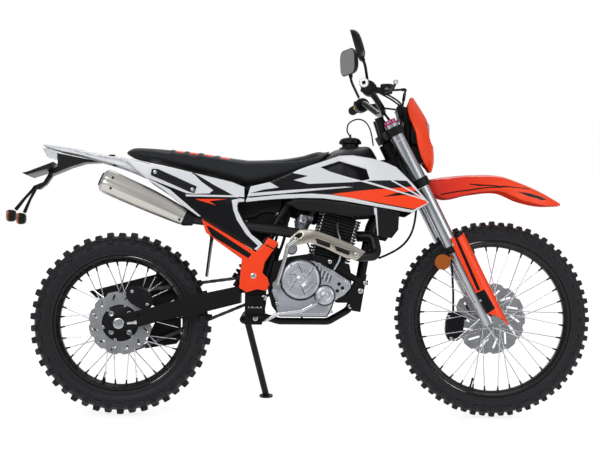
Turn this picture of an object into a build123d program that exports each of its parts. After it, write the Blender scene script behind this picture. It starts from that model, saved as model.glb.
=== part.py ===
"""Dual sport motorcycle, parked on its side stand.

Every sub-part is drawn with the machine upright: X forward, Y to the rider's left and Z up from the road,
in millimetres. The frame and bodywork are placed from X = 0, which is 470 behind the swingarm pivot.
What the fork carries is placed from the front axle. At the end the whole machine leans onto its stand about the line
where its tyres meet the road, and its origin moves to the bottom centre of its bounding box.
"""

from build123d import *
from math import atan2, cos, degrees, pi, radians, sin, tan
import os

# ---------------------------------------------------------------- driving sizes (mm, degrees)
LEAN = 11.0  # towards the side stand
PIVOT_X = 470.0
TYRE_TO_PIVOT = 147.0  # clear distance from the rear tyre to the swingarm pivot
FRONT_CENTRE = 850.0  # swingarm pivot to front axle, along the road
RAKE = 26.5  # steering axis back from vertical
FORK_OFFSET = 35.0  # legs ahead of the steering axis
AXLE_LEAD = 26.0  # front axle ahead of the legs
LEG_SPACING = 105.0  # each leg from the centre plane
RUNNING_GAP = 5.0  # between pieces that move past each other
PIN_GAP = 0.5  # radial, between a shaft and its hole
SEAM = 0.2  # between pieces that sit against each other

# tyres: radius at the lugs' tips, rim bore, half widths, lug height and count round the wheel
REAR_RADIUS = 323.0
REAR_BORE = 238.0
REAR_RIM_HALF = 31.0
REAR_CARCASS_HALF = 48.0
REAR_CROWN_HALF = 25.0
REAR_SHOULDER_DROP = 29.0
REAR_LUG_HEIGHT = 14.0
REAR_PITCHES = 23
FRONT_RADIUS = 348.0
FRONT_BORE = 277.0
FRONT_RIM_HALF = 26.0
FRONT_CARCASS_HALF = 38.0
FRONT_CROWN_HALF = 20.0
FRONT_SHOULDER_DROP = 24.0
FRONT_LUG_HEIGHT = 12.0
FRONT_PITCHES = 32
# lugs: along the tread, across it in the centre, across it at the shoulder
REAR_LUG = (21.0, 36.0, 24.0)
FRONT_LUG = (17.0, 30.0, 20.0)
RIM_DEPTH = 21.0
SPOKES = 36
SPOKE_RADIUS = 1.7

# running gear
AXLE_RADIUS = 9.0
PIVOT_Z = 455.0
ARM_INNER = 80.0  # swingarm, from the centre plane
ARM_OUTER = 104.0
CHAIN_LINE = 69.0
CHAIN_HALF_HEIGHT = 6.5
CHAIN_PITCH = 15.875
REAR_TEETH = 42
FRONT_TEETH = 14
OUTPUT_X = 528.0
OUTPUT_Z = 470.0
FRONT_DISC_RADIUS = 128.0
REAR_DISC_RADIUS = 112.0
DISC_THICKNESS = 4.0

# fork and head
LEG_TUBE_RADIUS = 25.0
SLIDER_RADIUS = 18.5
TUBE_LOW = 284.0  # along the legs, from axle level
TUBE_HIGH = 776.0
LOWER_CLAMP = 530.0
UPPER_CLAMP = 732.0
CLAMP_HEIGHT = 30.0
HEAD_RADIUS = 29.0
STEM_RADIUS = 15.0
BAR_RADIUS = 11.0
BAR_HALF = 400.0
BAR_BORE = 7.0
BAR_BORE_DEPTH = 40.0

# frame
PLATE_INNER = 82.0
PLATE_OUTER = 90.0
GUARD_INNER = 118.0
GUARD_OUTER = 126.0
CYLINDER_TILT = 15.0
CYLINDER_X = 735.0
CYLINDER_Z = 556.0
CRANKCASE_HALF = 95.0
PIPE_RADIUS = 19.0

# side stand
STAND_PIVOT = Vector(440, 122, 350)
STAND_FOOT_X = 515.0
STAND_FOOT_Y = 262.0
STAND_STOWED = Vector(-0.955, 0.12, 0.27)
FOOT_RADIUS = 25.0
FOOT_THICKNESS = 6.0

# rack and paddock-stand fixings
RACK_HOLE_RADIUS = 3.3
RACK_BOSS_X = -36.0
RACK_BOSS_Y = 50.0
RACK_BOSS_TOP = 922.0
RACK_BOSS_HEIGHT = 36.0
SPOOL_HOLE_RADIUS = 4.0
SPOOL_HOLE_DEPTH = 16.0


# ---------------------------------------------------------------- helpers
def bar(start, end, radius, mode=Mode.ADD):
    """Round bar from start to end."""
    start, end = Vector(*start), Vector(*end)
    with BuildSketch(Plane(origin=start, z_dir=end - start)) as section:
        Circle(radius)
    return extrude(section.sketch, amount=(end - start).length, mode=mode)


def bent_tube(points, bend, radius, mode=Mode.ADD):
    """Round tube along straight runs with a fillet at each bend."""
    with BuildLine() as route:
        FilletPolyline(*points, radius=bend)
    with BuildSketch(Plane(origin=route.line @ 0, z_dir=route.line % 0)) as section:
        Circle(radius)
    return sweep(section.sketch, path=route.line, mode=mode)


def side_plate(outline, low_y, high_y, mode=Mode.ADD):
    """Flat plate with an outline in X and Z, between two distances from the centre plane."""
    with BuildSketch(Plane.XZ.offset(-high_y)) as face:
        with BuildLine():
            Polyline(*outline, close=True)
        make_face()
    return extrude(face.sketch, amount=high_y - low_y, mode=mode)


def plan_band(centre_line, thickness, low_z, high_z, mode=Mode.INTERSECT):
    """Keep what lies in a wall that follows a line in plan, given at its outer face."""
    inner = [(x, y - thickness) for x, y in reversed(centre_line)]
    with BuildSketch(Plane.XY.offset(low_z)) as wall:
        with BuildLine():
            Polyline(*centre_line, *inner, close=True)
        make_face()
    return extrude(wall.sketch, amount=high_z - low_z, mode=mode)


def crowned_loft(sections, origin=Vector(0, 0, 0), wall=0.0, drop=0.0, mode=Mode.ADD):
    """Ruled loft of sections with a flat bottom, straight sides and an arched top."""
    faces = []
    for x, half_low, half_high, low, side, top in sections:
        with BuildSketch(Plane.YZ.offset(origin.X + x)) as section:
            with BuildLine():
                Polyline(
                    (half_high - wall, origin.Z + side - wall),
                    (half_low - wall, origin.Z + low - drop),
                    (wall - half_low, origin.Z + low - drop),
                    (wall - half_high, origin.Z + side - wall),
                )
                ThreePointArc(
                    (wall - half_high, origin.Z + side - wall),
                    (0, origin.Z + top - wall),
                    (half_high - wall, origin.Z + side - wall),
                )
            make_face()
        faces.append(section.sketch)
    return loft(faces, ruled=True, mode=mode)


# ---------------------------------------------------------------- frames of reference
def axle_height(radius, centre_across):
    """Height of the axle over the road line when the edge of a leaning wheel's centre lug touches it."""
    return radius + centre_across / 2 * tan(radians(LEAN))


REAR_AXLE = Vector(PIVOT_X - REAR_RADIUS - TYRE_TO_PIVOT, 0, axle_height(REAR_RADIUS, REAR_LUG[1]))
FRONT_AXLE = Vector(PIVOT_X + FRONT_CENTRE, 0, axle_height(FRONT_RADIUS, FRONT_LUG[1]))
STEER_UP = Vector(-sin(radians(RAKE)), 0, cos(radians(RAKE)))
STEER_FORWARD = Vector(cos(radians(RAKE)), 0, sin(radians(RAKE)))
# local x ahead of the steering axis, y to the left, z up along the axis from axle level
STEER = Plane(
    origin=FRONT_AXLE - STEER_FORWARD * (AXLE_LEAD + FORK_OFFSET), x_dir=STEER_FORWARD, z_dir=STEER_UP
)
# local x straight down from the axle, z along the axle to the left
REAR_WHEEL = Plane(origin=REAR_AXLE, x_dir=(0, 0, -1), z_dir=(0, 1, 0))
FRONT_WHEEL = Plane(origin=FRONT_AXLE, x_dir=(0, 0, -1), z_dir=(0, 1, 0))
CYLINDER = Plane(
    origin=(CYLINDER_X, 0, CYLINDER_Z),
    x_dir=(cos(radians(CYLINDER_TILT)), 0, -sin(radians(CYLINDER_TILT))),
    z_dir=(sin(radians(CYLINDER_TILT)), 0, cos(radians(CYLINDER_TILT))),
)


def steer(x, y, z):
    """Point given in the steering frame."""
    return STEER.from_local_coords(Vector(x, y, z))


def front(x, y, z):
    """Point given from the front axle."""
    return FRONT_AXLE + Vector(x, y, z)


def on_rear_axle(y):
    """Point on the rear axle's centre line."""
    return REAR_AXLE + Vector(0, y, 0)


def on_front_axle(y):
    """Point on the front axle's centre line."""
    return FRONT_AXLE + Vector(0, y, 0)


def at_axle(axle, outline):
    """Outline in X and Z, moved from an axle to where that axle is."""
    return [(axle.X + x, axle.Z + z) for x, z in outline]


# ---------------------------------------------------------------- wheels
def wheel_section(wheel):
    """Plane through the axle whose local x runs along the axle and y towards the rim."""
    return Plane(origin=wheel.origin, x_dir=(0, 1, 0), z_dir=(1, 0, 0))


def make_tyre(wheel, radius, bore, carcass_half, crown_half, shoulder_drop, lug_height, pitches, lug):
    """Solid tyre with two flats to each lug pitch, and centre and shoulder lugs in staggered rows."""
    along, centre_across, shoulder_across = lug
    crown = radius - lug_height
    step = 180 / pitches
    slope = degrees(atan2(shoulder_drop, carcass_half - crown_half))
    sunk = lug_height + 3
    reach = lug_height - sunk / 2
    shoulder_r = crown - shoulder_drop / 2 + reach * cos(radians(slope))
    shoulder_y = (crown_half + carcass_half) / 2 + reach * sin(radians(slope))
    with BuildPart(wheel) as tyre:
        with BuildSketch(wheel):
            RegularPolygon(crown, 2 * pitches, major_radius=False, rotation=step / 2)
        extrude(amount=crown_half, both=True)
        for side in (-1, 1):
            with BuildSketch(wheel.offset(side * crown_half)):
                RegularPolygon(crown, 2 * pitches, major_radius=False, rotation=step / 2)
            extrude(amount=side * (carcass_half - crown_half), taper=slope)
        with BuildSketch(wheel):
            RegularPolygon(bore, 2 * pitches, major_radius=False, rotation=step / 2)
        extrude(amount=2 * carcass_half, both=True, mode=Mode.SUBTRACT)
        with PolarLocations(0, pitches):
            with Locations((radius - sunk / 2, 0, 0)):
                Box(sunk, along, centre_across)
        with PolarLocations(0, pitches, start_angle=step):
            with Locations(
                Location((shoulder_r, 0, shoulder_y), (0, -slope, 0)),
                Location((shoulder_r, 0, -shoulder_y), (0, slope, 0)),
            ):
                Box(sunk, along, shoulder_across)
    return tyre


def make_rim(wheel, bore, rim_half):
    """Rim with an edge flange each side and a narrow well that carries the spokes."""
    top = bore - SEAM
    well = bore - RIM_DEPTH
    half = [(rim_half, top), (rim_half, top - 7), (rim_half - 5, top - 10), (11, well + 3), (9, well)]
    with BuildPart() as rim:
        with BuildSketch(wheel_section(wheel)):
            with BuildLine():
                Polyline(*half, *[(-y, r) for y, r in reversed(half)], close=True)
            make_face()
        revolve(axis=Axis(wheel.origin, wheel.z_dir))
    return rim


def make_spokes(wheel, bore, steps, flange_y, flange_radius, sweep_angle):
    """Hub turned from steps of (low y, high y, radius), with crossed spokes out to the rim's well."""
    spokes = []
    for i in range(SPOKES):
        side = 1 if i % 2 == 0 else -1
        lead = 1 if i // 2 % 2 == 0 else -1
        rim_angle = 360 / SPOKES * (i + 0.5)
        hub_angle = rim_angle + lead * sweep_angle
        hub_y = side * (flange_y + 2.8 * lead)
        rim_y = side * (4 + 1.8 * lead)
        inner = Vector(flange_radius - 4, 0, hub_y).rotate(Axis.Z, hub_angle)
        outer = Vector(bore - RIM_DEPTH + 5, 0, rim_y).rotate(Axis.Z, rim_angle)
        spokes.append(bar(inner, outer, SPOKE_RADIUS, mode=Mode.PRIVATE))
    with BuildPart(wheel) as hub:
        for low, high, radius in steps:
            with Locations((0, 0, (low + high) / 2)):
                Cylinder(radius, high - low)
        add(spokes)
        Cylinder(bore - RIM_DEPTH - SEAM, 200, mode=Mode.INTERSECT)
        Cylinder(AXLE_RADIUS + PIN_GAP, 200, mode=Mode.SUBTRACT)
    return hub


def make_disc(wheel, low_y, outer, inner, waves, holes):
    """Brake disc with a scalloped edge and a ring of slots."""
    with BuildPart() as disc:
        with BuildSketch(wheel.offset(low_y)):
            Circle(outer)
            with PolarLocations(outer + 7, waves):
                Circle(13, mode=Mode.SUBTRACT)
            Circle(inner, mode=Mode.SUBTRACT)
            with PolarLocations((outer + inner) / 2 + 4, holes, start_angle=180 / holes):
                SlotOverall((outer - inner) * 0.5, 7, rotation=35, mode=Mode.SUBTRACT)
        extrude(amount=DISC_THICKNESS)
    return disc


rear_tyre = make_tyre(
    REAR_WHEEL,
    REAR_RADIUS,
    REAR_BORE,
    REAR_CARCASS_HALF,
    REAR_CROWN_HALF,
    REAR_SHOULDER_DROP,
    REAR_LUG_HEIGHT,
    REAR_PITCHES,
    REAR_LUG,
)
front_tyre = make_tyre(
    FRONT_WHEEL,
    FRONT_RADIUS,
    FRONT_BORE,
    FRONT_CARCASS_HALF,
    FRONT_CROWN_HALF,
    FRONT_SHOULDER_DROP,
    FRONT_LUG_HEIGHT,
    FRONT_PITCHES,
    FRONT_LUG,
)
rear_rim = make_rim(REAR_WHEEL, REAR_BORE, REAR_RIM_HALF)
front_rim = make_rim(FRONT_WHEEL, FRONT_BORE, FRONT_RIM_HALF)

# rear: disc carrier on the right, sprocket carrier on the left
REAR_DISC_Y = -48.0
REAR_HUB_END = -56.0
REAR_CARRIER_RADIUS = 73.0
SPROCKET_LOW = CHAIN_LINE - 3
rear_hub = make_spokes(
    REAR_WHEEL,
    REAR_BORE,
    [
        (REAR_HUB_END, REAR_DISC_Y + DISC_THICKNESS, 22),
        (REAR_DISC_Y + DISC_THICKNESS, -38, REAR_CARRIER_RADIUS),
        (-38, 60, 30),
        (-36, -28, 42),
        (28, 36, 42),
        (60, SPROCKET_LOW, 46),
    ],
    32,
    42,
    64,
)
rear_disc = make_disc(REAR_WHEEL, REAR_DISC_Y, REAR_DISC_RADIUS, REAR_CARRIER_RADIUS - 8, 12, 12)

FRONT_DISC_Y = 44.0
FRONT_HUB_END = 50.0
front_hub = make_spokes(
    FRONT_WHEEL,
    FRONT_BORE,
    [(-44, 36, 22), (-34, -26, 34), (26, 34, 34), (36, FRONT_DISC_Y, 52)],
    30,
    34,
    66,
)
front_disc = make_disc(FRONT_WHEEL, FRONT_DISC_Y, FRONT_DISC_RADIUS, 44, 14, 14)

# ---------------------------------------------------------------- final drive
REAR_PITCH_RADIUS = CHAIN_PITCH / 2 / sin(pi / REAR_TEETH)
FRONT_PITCH_RADIUS = CHAIN_PITCH / 2 / sin(pi / FRONT_TEETH)
SPROCKET_TIP = REAR_PITCH_RADIUS - CHAIN_HALF_HEIGHT - RUNNING_GAP
TOOTH_DEPTH = 7.0

with BuildPart() as rear_sprocket:
    with BuildSketch(REAR_WHEEL.offset(SPROCKET_LOW)):
        Circle(SPROCKET_TIP)
        with PolarLocations(SPROCKET_TIP, REAR_TEETH):
            Circle(TOOTH_DEPTH * 0.6, mode=Mode.SUBTRACT)
        with PolarLocations(62, 6):
            SlotOverall(40, 22, rotation=90, mode=Mode.SUBTRACT)
        Circle(AXLE_RADIUS + 12, mode=Mode.SUBTRACT)
    extrude(amount=6)


with BuildSketch(Plane.XZ.offset(-CHAIN_LINE)) as chain_run:
    with Locations((REAR_AXLE.X, REAR_AXLE.Z)):
        Circle(REAR_PITCH_RADIUS)
    with Locations((OUTPUT_X, OUTPUT_Z)):
        Circle(FRONT_PITCH_RADIUS)
    make_hull()
chain_route = chain_run.sketch.face().outer_wire()
LINKS = 2 * round(chain_route.length / CHAIN_PITCH / 2)
# outer and inner links in turn: width and height
LINK_SIZES = [(14.0, 2 * CHAIN_HALF_HEIGHT - 1), (9.0, 2 * CHAIN_HALF_HEIGHT - 2)]
with BuildPart() as chain:
    for first, (width, height) in enumerate(LINK_SIZES):
        spots = [(i + 0.5) / LINKS for i in range(first, LINKS, 2)]
        with Locations(
            *[
                Plane(chain_route.position_at(at), x_dir=chain_route.tangent_at(at), z_dir=(0, 1, 0))
                for at in spots
            ]
        ):
            Box(CHAIN_PITCH + 5, height, width)

# ---------------------------------------------------------------- frame
HEAD_LOW = LOWER_CLAMP + CLAMP_HEIGHT + RUNNING_GAP
HEAD_HIGH = UPPER_CLAMP - RUNNING_GAP
SPINE_END = (640, 0, 838)
CRADLE = [
    (836, -24, 430),
    (806, -62, 378),
    (735, -78, 337),
    (560, -78, 337),
    (478, -84, 362),
]
PIVOT_PLATE = [
    (440, 325),
    (500, 325),
    (514, 400),
    (514, 560),
    (502, 612),
    (472, 612),
    (448, 540),
    (440, 480),
]
ENGINE_BRACKET = [(868, 505), (846, 372), (818, 376), (806, 404), (764, 404), (764, 420), (800, 434), (838, 490)]
STAND_FOOT = Vector(STAND_FOOT_X, STAND_FOOT_Y, STAND_FOOT_Y * tan(radians(LEAN)))
STAND_LEG = (STAND_FOOT - STAND_PIVOT).normalized()
STAND_AXIS = STAND_LEG.cross(STAND_STOWED).normalized()
STAND_SWEEP = STAND_LEG.get_angle(STAND_STOWED)

with BuildPart() as frame:
    # head tube and spine
    with BuildSketch(STEER.offset(HEAD_LOW)):
        Circle(HEAD_RADIUS)
    extrude(amount=HEAD_HIGH - HEAD_LOW)
    bar(steer(0, 0, (HEAD_LOW + HEAD_HIGH) / 2), SPINE_END, 24)
    bent_tube([steer(-8, 0, HEAD_LOW + 30), (884, 0, 680), (832, 0, 385)], 120, 17)
    # seat stays, cradle and plates, drawn on the right and mirrored
    bar((640, -66, 838), (640, 0, 838), 14)
    bar((640, -60, 838), (494, -74, 596), 12)
    bent_tube(CRADLE, 40, 11)
    side_plate(PIVOT_PLATE, -PLATE_OUTER, -PLATE_INNER)
    side_plate(ENGINE_BRACKET, -102, -CRANKCASE_HALF - 1)
    bar((842, -102, 446), (842, 0, 446), 11)
    bar((486, -PLATE_INNER, 597), (486, 0, 597), 11)
    bar((548, -67, 686), (548, 0, 686), 10)
    bar((478, -PLATE_INNER, 347), (478, 0, 347), 11)
    mirror(about=Plane.XZ)
    # side stand boss on the left plate
    bar((462, PLATE_INNER, 352), STAND_PIVOT - STAND_AXIS * 27, 13)
    bar(STAND_PIVOT - STAND_AXIS * 26, STAND_PIVOT - STAND_AXIS * 13, 17)
    # bearing bore and swingarm bolt holes
    bar(steer(0, 0, HEAD_LOW - 5), steer(0, 0, HEAD_HIGH + 5), STEM_RADIUS + PIN_GAP, mode=Mode.SUBTRACT)

UPPER_RAIL = [(652, -60, 838), (480, -80, 798), (104, -80, 872)]
with BuildPart() as subframe:
    bent_tube(UPPER_RAIL, 150, 11)
    bar((474, -68, 608), (140, -76, 848), 8)
    mirror(about=Plane.XZ)
    bar((240, -84, 845), (240, 84, 845), 9)
    add(frame.part, mode=Mode.SUBTRACT)

GUARD_OUTLINE = [
    (286, 696),
    (303, 645),
    (429, 555),
    (420, 454),
    (446, 438),
    (485, 449),
    (513, 444),
    (527, 465),
    (520, 489),
    (502, 507),
    (509, 542),
    (537, 584),
    (558, 612),
    (520, 631),
    (506, 608),
    (478, 580),
]
with BuildPart() as frame_guards:
    side_plate(GUARD_OUTLINE, GUARD_INNER, GUARD_OUTER)
    fillet(frame_guards.edges().filter_by(Axis.Y), 6)
    bar((470, PLATE_OUTER + SEAM, 496), (470, GUARD_INNER + 1, 496), 11)
    mirror(about=Plane.XZ)

# ---------------------------------------------------------------- swingarm and rear brake
AXLE_END = [(10, -30), (-30, -26), (-48, -14), (-48, 18), (-10, 26)]
ARM_OUTLINE = at_axle(REAR_AXLE, AXLE_END) + [(140, 390), (250, 424), (425, 462), (425, 400), (316, 372), (140, 335)]
with BuildPart() as swingarm:
    side_plate(ARM_OUTLINE, ARM_INNER, ARM_OUTER)
    bar(on_rear_axle(ARM_INNER - 5), on_rear_axle(ARM_OUTER + 5), AXLE_RADIUS, mode=Mode.SUBTRACT)
    bar(
        (70, ARM_OUTER - SPOOL_HOLE_DEPTH, 356),
        (70, ARM_OUTER + 5, 356),
        SPOOL_HOLE_RADIUS,
        mode=Mode.SUBTRACT,
    )
    mirror(about=Plane.XZ)
    side_plate([(365, 398), (365, 448), (425, 462), (425, 400)], -ARM_INNER, ARM_INNER)
    side_plate([(420, 436), (420, 460), (470, 474), (470, 436)], -56, 56)
    bar((PIVOT_X, -ARM_INNER, PIVOT_Z), (PIVOT_X, ARM_INNER, PIVOT_Z), 22)

with BuildPart() as rear_axle:
    bar(on_rear_axle(-ARM_OUTER - 12), on_rear_axle(ARM_OUTER + 12), AXLE_RADIUS - SEAM)
    for side in (-1, 1):
        bar(on_rear_axle(side * (ARM_OUTER + SEAM)), on_rear_axle(side * (ARM_OUTER + 8)), 15)
    bar(on_rear_axle(-ARM_INNER + SEAM), on_rear_axle(REAR_HUB_END - RUNNING_GAP), 15)

with BuildPart() as rear_caliper:
    side_plate(at_axle(REAR_AXLE, [(20, 84), (70, 52), (96, 46), (120, 72), (106, 108), (60, 132), (26, 128)]), -ARM_INNER, -34)
    with BuildSketch(REAR_WHEEL.offset(REAR_DISC_Y - RUNNING_GAP / 2)):
        Circle(REAR_DISC_RADIUS + RUNNING_GAP)
    extrude(amount=DISC_THICKNESS + RUNNING_GAP, mode=Mode.SUBTRACT)

with BuildPart() as chain_guard:
    side_plate(
        [(-130, 438), (125, 505), (215, 512), (205, 380), (150, 360), (89, 395), (-104, 414)],
        ARM_OUTER + SEAM,
        ARM_OUTER + 4,
    )
    side_plate([(120, 345), (205, 362), (206, 270), (190, 250), (75, 232), (92, 290)], 96, 100)
    add(swingarm.part, mode=Mode.SUBTRACT)

with BuildPart() as rear_shock:
    bar((402, 0, 456), (530, 0, 664), 14)
    bar((424, 0, 492), (514, 0, 638), 33)
    add(swingarm.part, mode=Mode.SUBTRACT)
    add(frame.part, mode=Mode.SUBTRACT)

# ---------------------------------------------------------------- engine
CYLINDER_HALF = 75.0
FINS = 15
FIN_STEP = 11.0
case_rear = CYLINDER.from_local_coords(Vector(-CYLINDER_HALF, 0, -SEAM))
case_front = CYLINDER.from_local_coords(Vector(CYLINDER_HALF, 0, -SEAM))
CASE_OUTLINE = [
    (520, 448),
    (540, 545),
    (600, 566),
    (case_rear.X, case_rear.Z),
    (case_front.X, case_front.Z),
    (814, 500),
    (814, 455),
    (790, 428),
    (754, 409),
    (743, 375),
    (729, 354),
    (562, 354),
    (534, 392),
]
with BuildPart() as crankcase:
    side_plate(CASE_OUTLINE, -CRANKCASE_HALF, CRANKCASE_HALF)
    # pocket for the output sprocket and the chain
    side_plate([(500, 418), (500, 524), (582, 524), (582, 418)], CHAIN_LINE - 11, 200, mode=Mode.SUBTRACT)
    bar((OUTPUT_X + 4, CHAIN_LINE - 20, OUTPUT_Z), (OUTPUT_X, CHAIN_LINE + 8, OUTPUT_Z), 20)

with BuildPart() as engine_covers:
    # right: case half, clutch cover and oil pump cover, then left: alternator and sprocket covers
    side_plate(
        [
            (590, 542),
            (631, 556),
            (684, 550),
            (754, 515),
            (806, 481),
            (810, 455),
            (786, 430),
            (750, 411),
            (739, 378),
            (726, 358),
            (564, 358),
            (548, 409),
            (534, 444),
            (560, 500),
        ],
        -CRANKCASE_HALF - 17,
        -CRANKCASE_HALF - SEAM,
    )
    bar((634, -CRANKCASE_HALF - 16, 485), (634, -CRANKCASE_HALF - 40, 485), 67)
    bar((720, -CRANKCASE_HALF - 16, 430), (720, -CRANKCASE_HALF - 30, 430), 31)
    side_plate(
        [(524, 440), (540, 540), (600, 556), (690, 545), (745, 500), (745, 420), (700, 370), (560, 365)],
        CRANKCASE_HALF + SEAM,
        CRANKCASE_HALF + 9,
    )
    bar((668, CRANKCASE_HALF + 8, 460), (668, CRANKCASE_HALF + 32, 460), 60)
    add(frame.part, mode=Mode.SUBTRACT)

with BuildPart(CYLINDER) as cylinder:
    with Locations((0, 0, 108)):
        Box(112, 104, 216)
    with Locations(*[(0, 0, 2 + i * FIN_STEP) for i in range(FINS)]):
        Box(2 * CYLINDER_HALF, 138, 4)
    with Locations((0, 0, 200)):
        Box(124, 112, 40)

with BuildPart() as intake:
    bar(CYLINDER.from_local_coords(Vector(-56 - SEAM, 0, 128)), (566, 0, 742), 25)
    bar((636, 0, 660), (652, 0, 752), 30)
    side_plate([(350, 700), (468, 694), (500, 722), (566, 712), (574, 782), (540, 792), (350, 800)], -58, 58)
    add(cylinder.part, mode=Mode.SUBTRACT)
    add(frame.part, mode=Mode.SUBTRACT)

PIPE_ROUTE = [
    (838, -30, 640),
    (892, -52, 640),
    (905, -72, 572),
    (838, -104, 568),
    (735, -105, 614),
    (640, -105, 642),
    (545, -106, 658),
    (430, -104, 670),
    (300, -97, 690),
    (236, -102, 698),
]
with BuildPart() as exhaust_pipe:
    bent_tube(PIPE_ROUTE, 24, PIPE_RADIUS)
    add(cylinder.part, mode=Mode.SUBTRACT)

with BuildPart() as exhaust_shield:
    side_plate(
        [
            (862, 584),
            (806, 612),
            (736, 640),
            (673, 660),
            (630, 660),
            (600, 634),
            (588, 600),
            (625, 604),
            (666, 613),
            (719, 595),
            (789, 562),
            (831, 552),
        ],
        -130,
        -105 - PIPE_RADIUS - SEAM,
    )
    for x, z in ((690, 628), (760, 598)):
        with BuildSketch(Plane.XZ.offset(120)):
            with Locations((x, z)):
                SlotOverall(52, 14, rotation=-24)
        extrude(amount=20, mode=Mode.SUBTRACT)

# muffler sections: centre x, y, z, half height, half width
MUFFLER = [
    (-60, -125, 828, 36, 36),
    (-36, -124, 818, 44, 43),
    (110, -112, 754, 40, 38),
    (232, -102, 698, 29, 27),
]
MUFFLER_AXIS = Vector(-292, -23, 130).normalized()
with BuildPart() as muffler:
    for x, y, z, half_height, half_width in MUFFLER:
        with BuildSketch(Plane(origin=(x, y, z), x_dir=(0, 1, 0), z_dir=MUFFLER_AXIS)):
            with BuildLine():
                Polyline(
                    (-half_width * 0.5, -half_height),
                    (half_width * 0.5, -half_height),
                    (half_width, -half_height * 0.3),
                    (half_width, half_height * 0.3),
                    (half_width * 0.5, half_height),
                    (-half_width * 0.5, half_height),
                    (-half_width, half_height * 0.3),
                    (-half_width, -half_height * 0.3),
                    close=True,
                )
            make_face()
    loft(ruled=True)
    add(exhaust_pipe.part, mode=Mode.SUBTRACT)

with BuildPart() as kick_lever:
    bar((551, -CRANKCASE_HALF - 18, 465), (551, -CRANKCASE_HALF - 44, 465), 14)
    bent_tube([(551, -137, 465), (580, -142, 560), (590, -142, 606)], 40, 7)
    bar((590, -142, 602), (618, -139, 622), 8)

# ---------------------------------------------------------------- controls at the feet
with BuildPart() as footpegs:
    side_plate([(446, 356), (512, 356), (506, 424), (450, 424)], PLATE_OUTER + SEAM, 102)
    side_plate([(452, 366), (502, 366), (502, 384), (452, 384)], 100, 188)
    mirror(about=Plane.XZ)
    bar(STAND_PIVOT - STAND_AXIS * 27, STAND_PIVOT + STAND_AXIS * 14, 23, mode=Mode.SUBTRACT)
    add(frame.part, mode=Mode.SUBTRACT)

with BuildPart() as pedals:
    bent_tube([(508, -96, 340), (520, -140, 345), (560, -146, 366), (640, -148, 376), (690, -150, 404)], 10, 6)
    side_plate([(676, 398), (676, 410), (706, 420), (706, 406)], -168, -146)
    bar((600, CRANKCASE_HALF + 9 + SEAM, 392), (600, 134, 392), 8)
    bar((600, 128, 392), (706, 140, 400), 6)
    bar((706, 134, 400), (706, 172, 400), 9)

STAND_RADIUS = 12.0
ROAD_UP = Vector(0, -sin(radians(LEAN)), cos(radians(LEAN)))
with BuildPart() as side_stand:
    bar(STAND_PIVOT - STAND_AXIS * 12, STAND_PIVOT + STAND_AXIS * 12, 17)
    bar(STAND_PIVOT + STAND_AXIS * 3, STAND_FOOT + ROAD_UP * 5, STAND_RADIUS)
    with BuildSketch(Plane(origin=STAND_FOOT, z_dir=ROAD_UP)):
        Circle(FOOT_RADIUS)
    extrude(amount=FOOT_THICKNESS)
    with BuildSketch(Plane(origin=STAND_FOOT, z_dir=ROAD_UP)):
        Circle(3 * FOOT_RADIUS)
    extrude(amount=-3 * FOOT_THICKNESS, mode=Mode.SUBTRACT)

# ---------------------------------------------------------------- bodywork
# tank sections: x, half width low and high, bottom, shoulder and crown heights
TANK = [
    (665, 98, 92, 858, 872, 884),
    (705, 112, 108, 812, 886, 908),
    (745, 122, 116, 798, 902, 943),
    (790, 130, 122, 796, 908, 956),
    (845, 112, 104, 796, 918, 962),
    (880, 78, 70, 800, 926, 960),
    (905, 48, 42, 830, 900, 925),
]
with BuildPart() as fuel_tank:
    crowned_loft(TANK)
    # tunnel over the spine
    side_plate([(600, 760), (1010, 760), (1010, 948), (600, 870)], -30, 30, mode=Mode.SUBTRACT)

with BuildPart() as fuel_cap:
    with BuildSketch(Plane(origin=(811, 0, 950), z_dir=(0, 0, 1))):
        Circle(33)
    extrude(amount=22)
    with BuildSketch(Plane(origin=(811, 0, 972), z_dir=(0, 0, 1))):
        Circle(41)
        with PolarLocations(41, 12):
            Circle(4, mode=Mode.SUBTRACT)
    extrude(amount=24, taper=18)
    add(fuel_tank.part, mode=Mode.SUBTRACT)

# seat sections: x, half width low and high, bottom, shoulder and crown heights
SEAT = [
    (9, 52, 50, 928, 933, 937),
    (32, 86, 80, 921, 938, 946),
    (168, 108, 100, 893, 924, 938),
    (276, 112, 104, 868, 910, 927),
    (420, 112, 100, 830, 888, 907),
    (462, 110, 98, 822, 885, 904),
    (562, 98, 88, 848, 892, 909),
    (636, 88, 76, 878, 904, 921),
    (668, 86, 70, 888, 914, 931),
    (738, 80, 60, 940, 944, 952),
]
with BuildPart() as seat:
    crowned_loft(SEAT)
    add(fuel_tank.part, mode=Mode.SUBTRACT)

SHROUD_OUTLINE = [
    (457, 809),
    (520, 824),
    (596, 857),
    (659, 882),
    (708, 898),
    (767, 919),
    (812, 921),
    (882, 909),
    (931, 894),
    (966, 878),
    (1014, 830),
    (1081, 754),
    (1049, 736),
    (1021, 719),
    (980, 725),
    (882, 742),
    (788, 759),
    (708, 769),
    (631, 770),
    (544, 765),
    (499, 761),
    (440, 754),
]
SHROUD_WINDOW = [(701, 880), (774, 900), (861, 873), (872, 834), (847, 829), (736, 862)]
SHROUD_PLAN = [(430, 122), (600, 128), (760, 142), (880, 164), (990, 174), (1090, 168)]
SHROUD_THICKNESS = 8.0
with BuildPart() as shrouds:
    side_plate(SHROUD_OUTLINE, 60, 200)
    side_plate(SHROUD_WINDOW, 60, 200, mode=Mode.SUBTRACT)
    plan_band(SHROUD_PLAN, SHROUD_THICKNESS, 600, 1000)
    bar((800, 120, 812), (800, 140, 812), 10)
    add(fuel_tank.part, mode=Mode.SUBTRACT)
    mirror(about=Plane.XZ)

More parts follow.
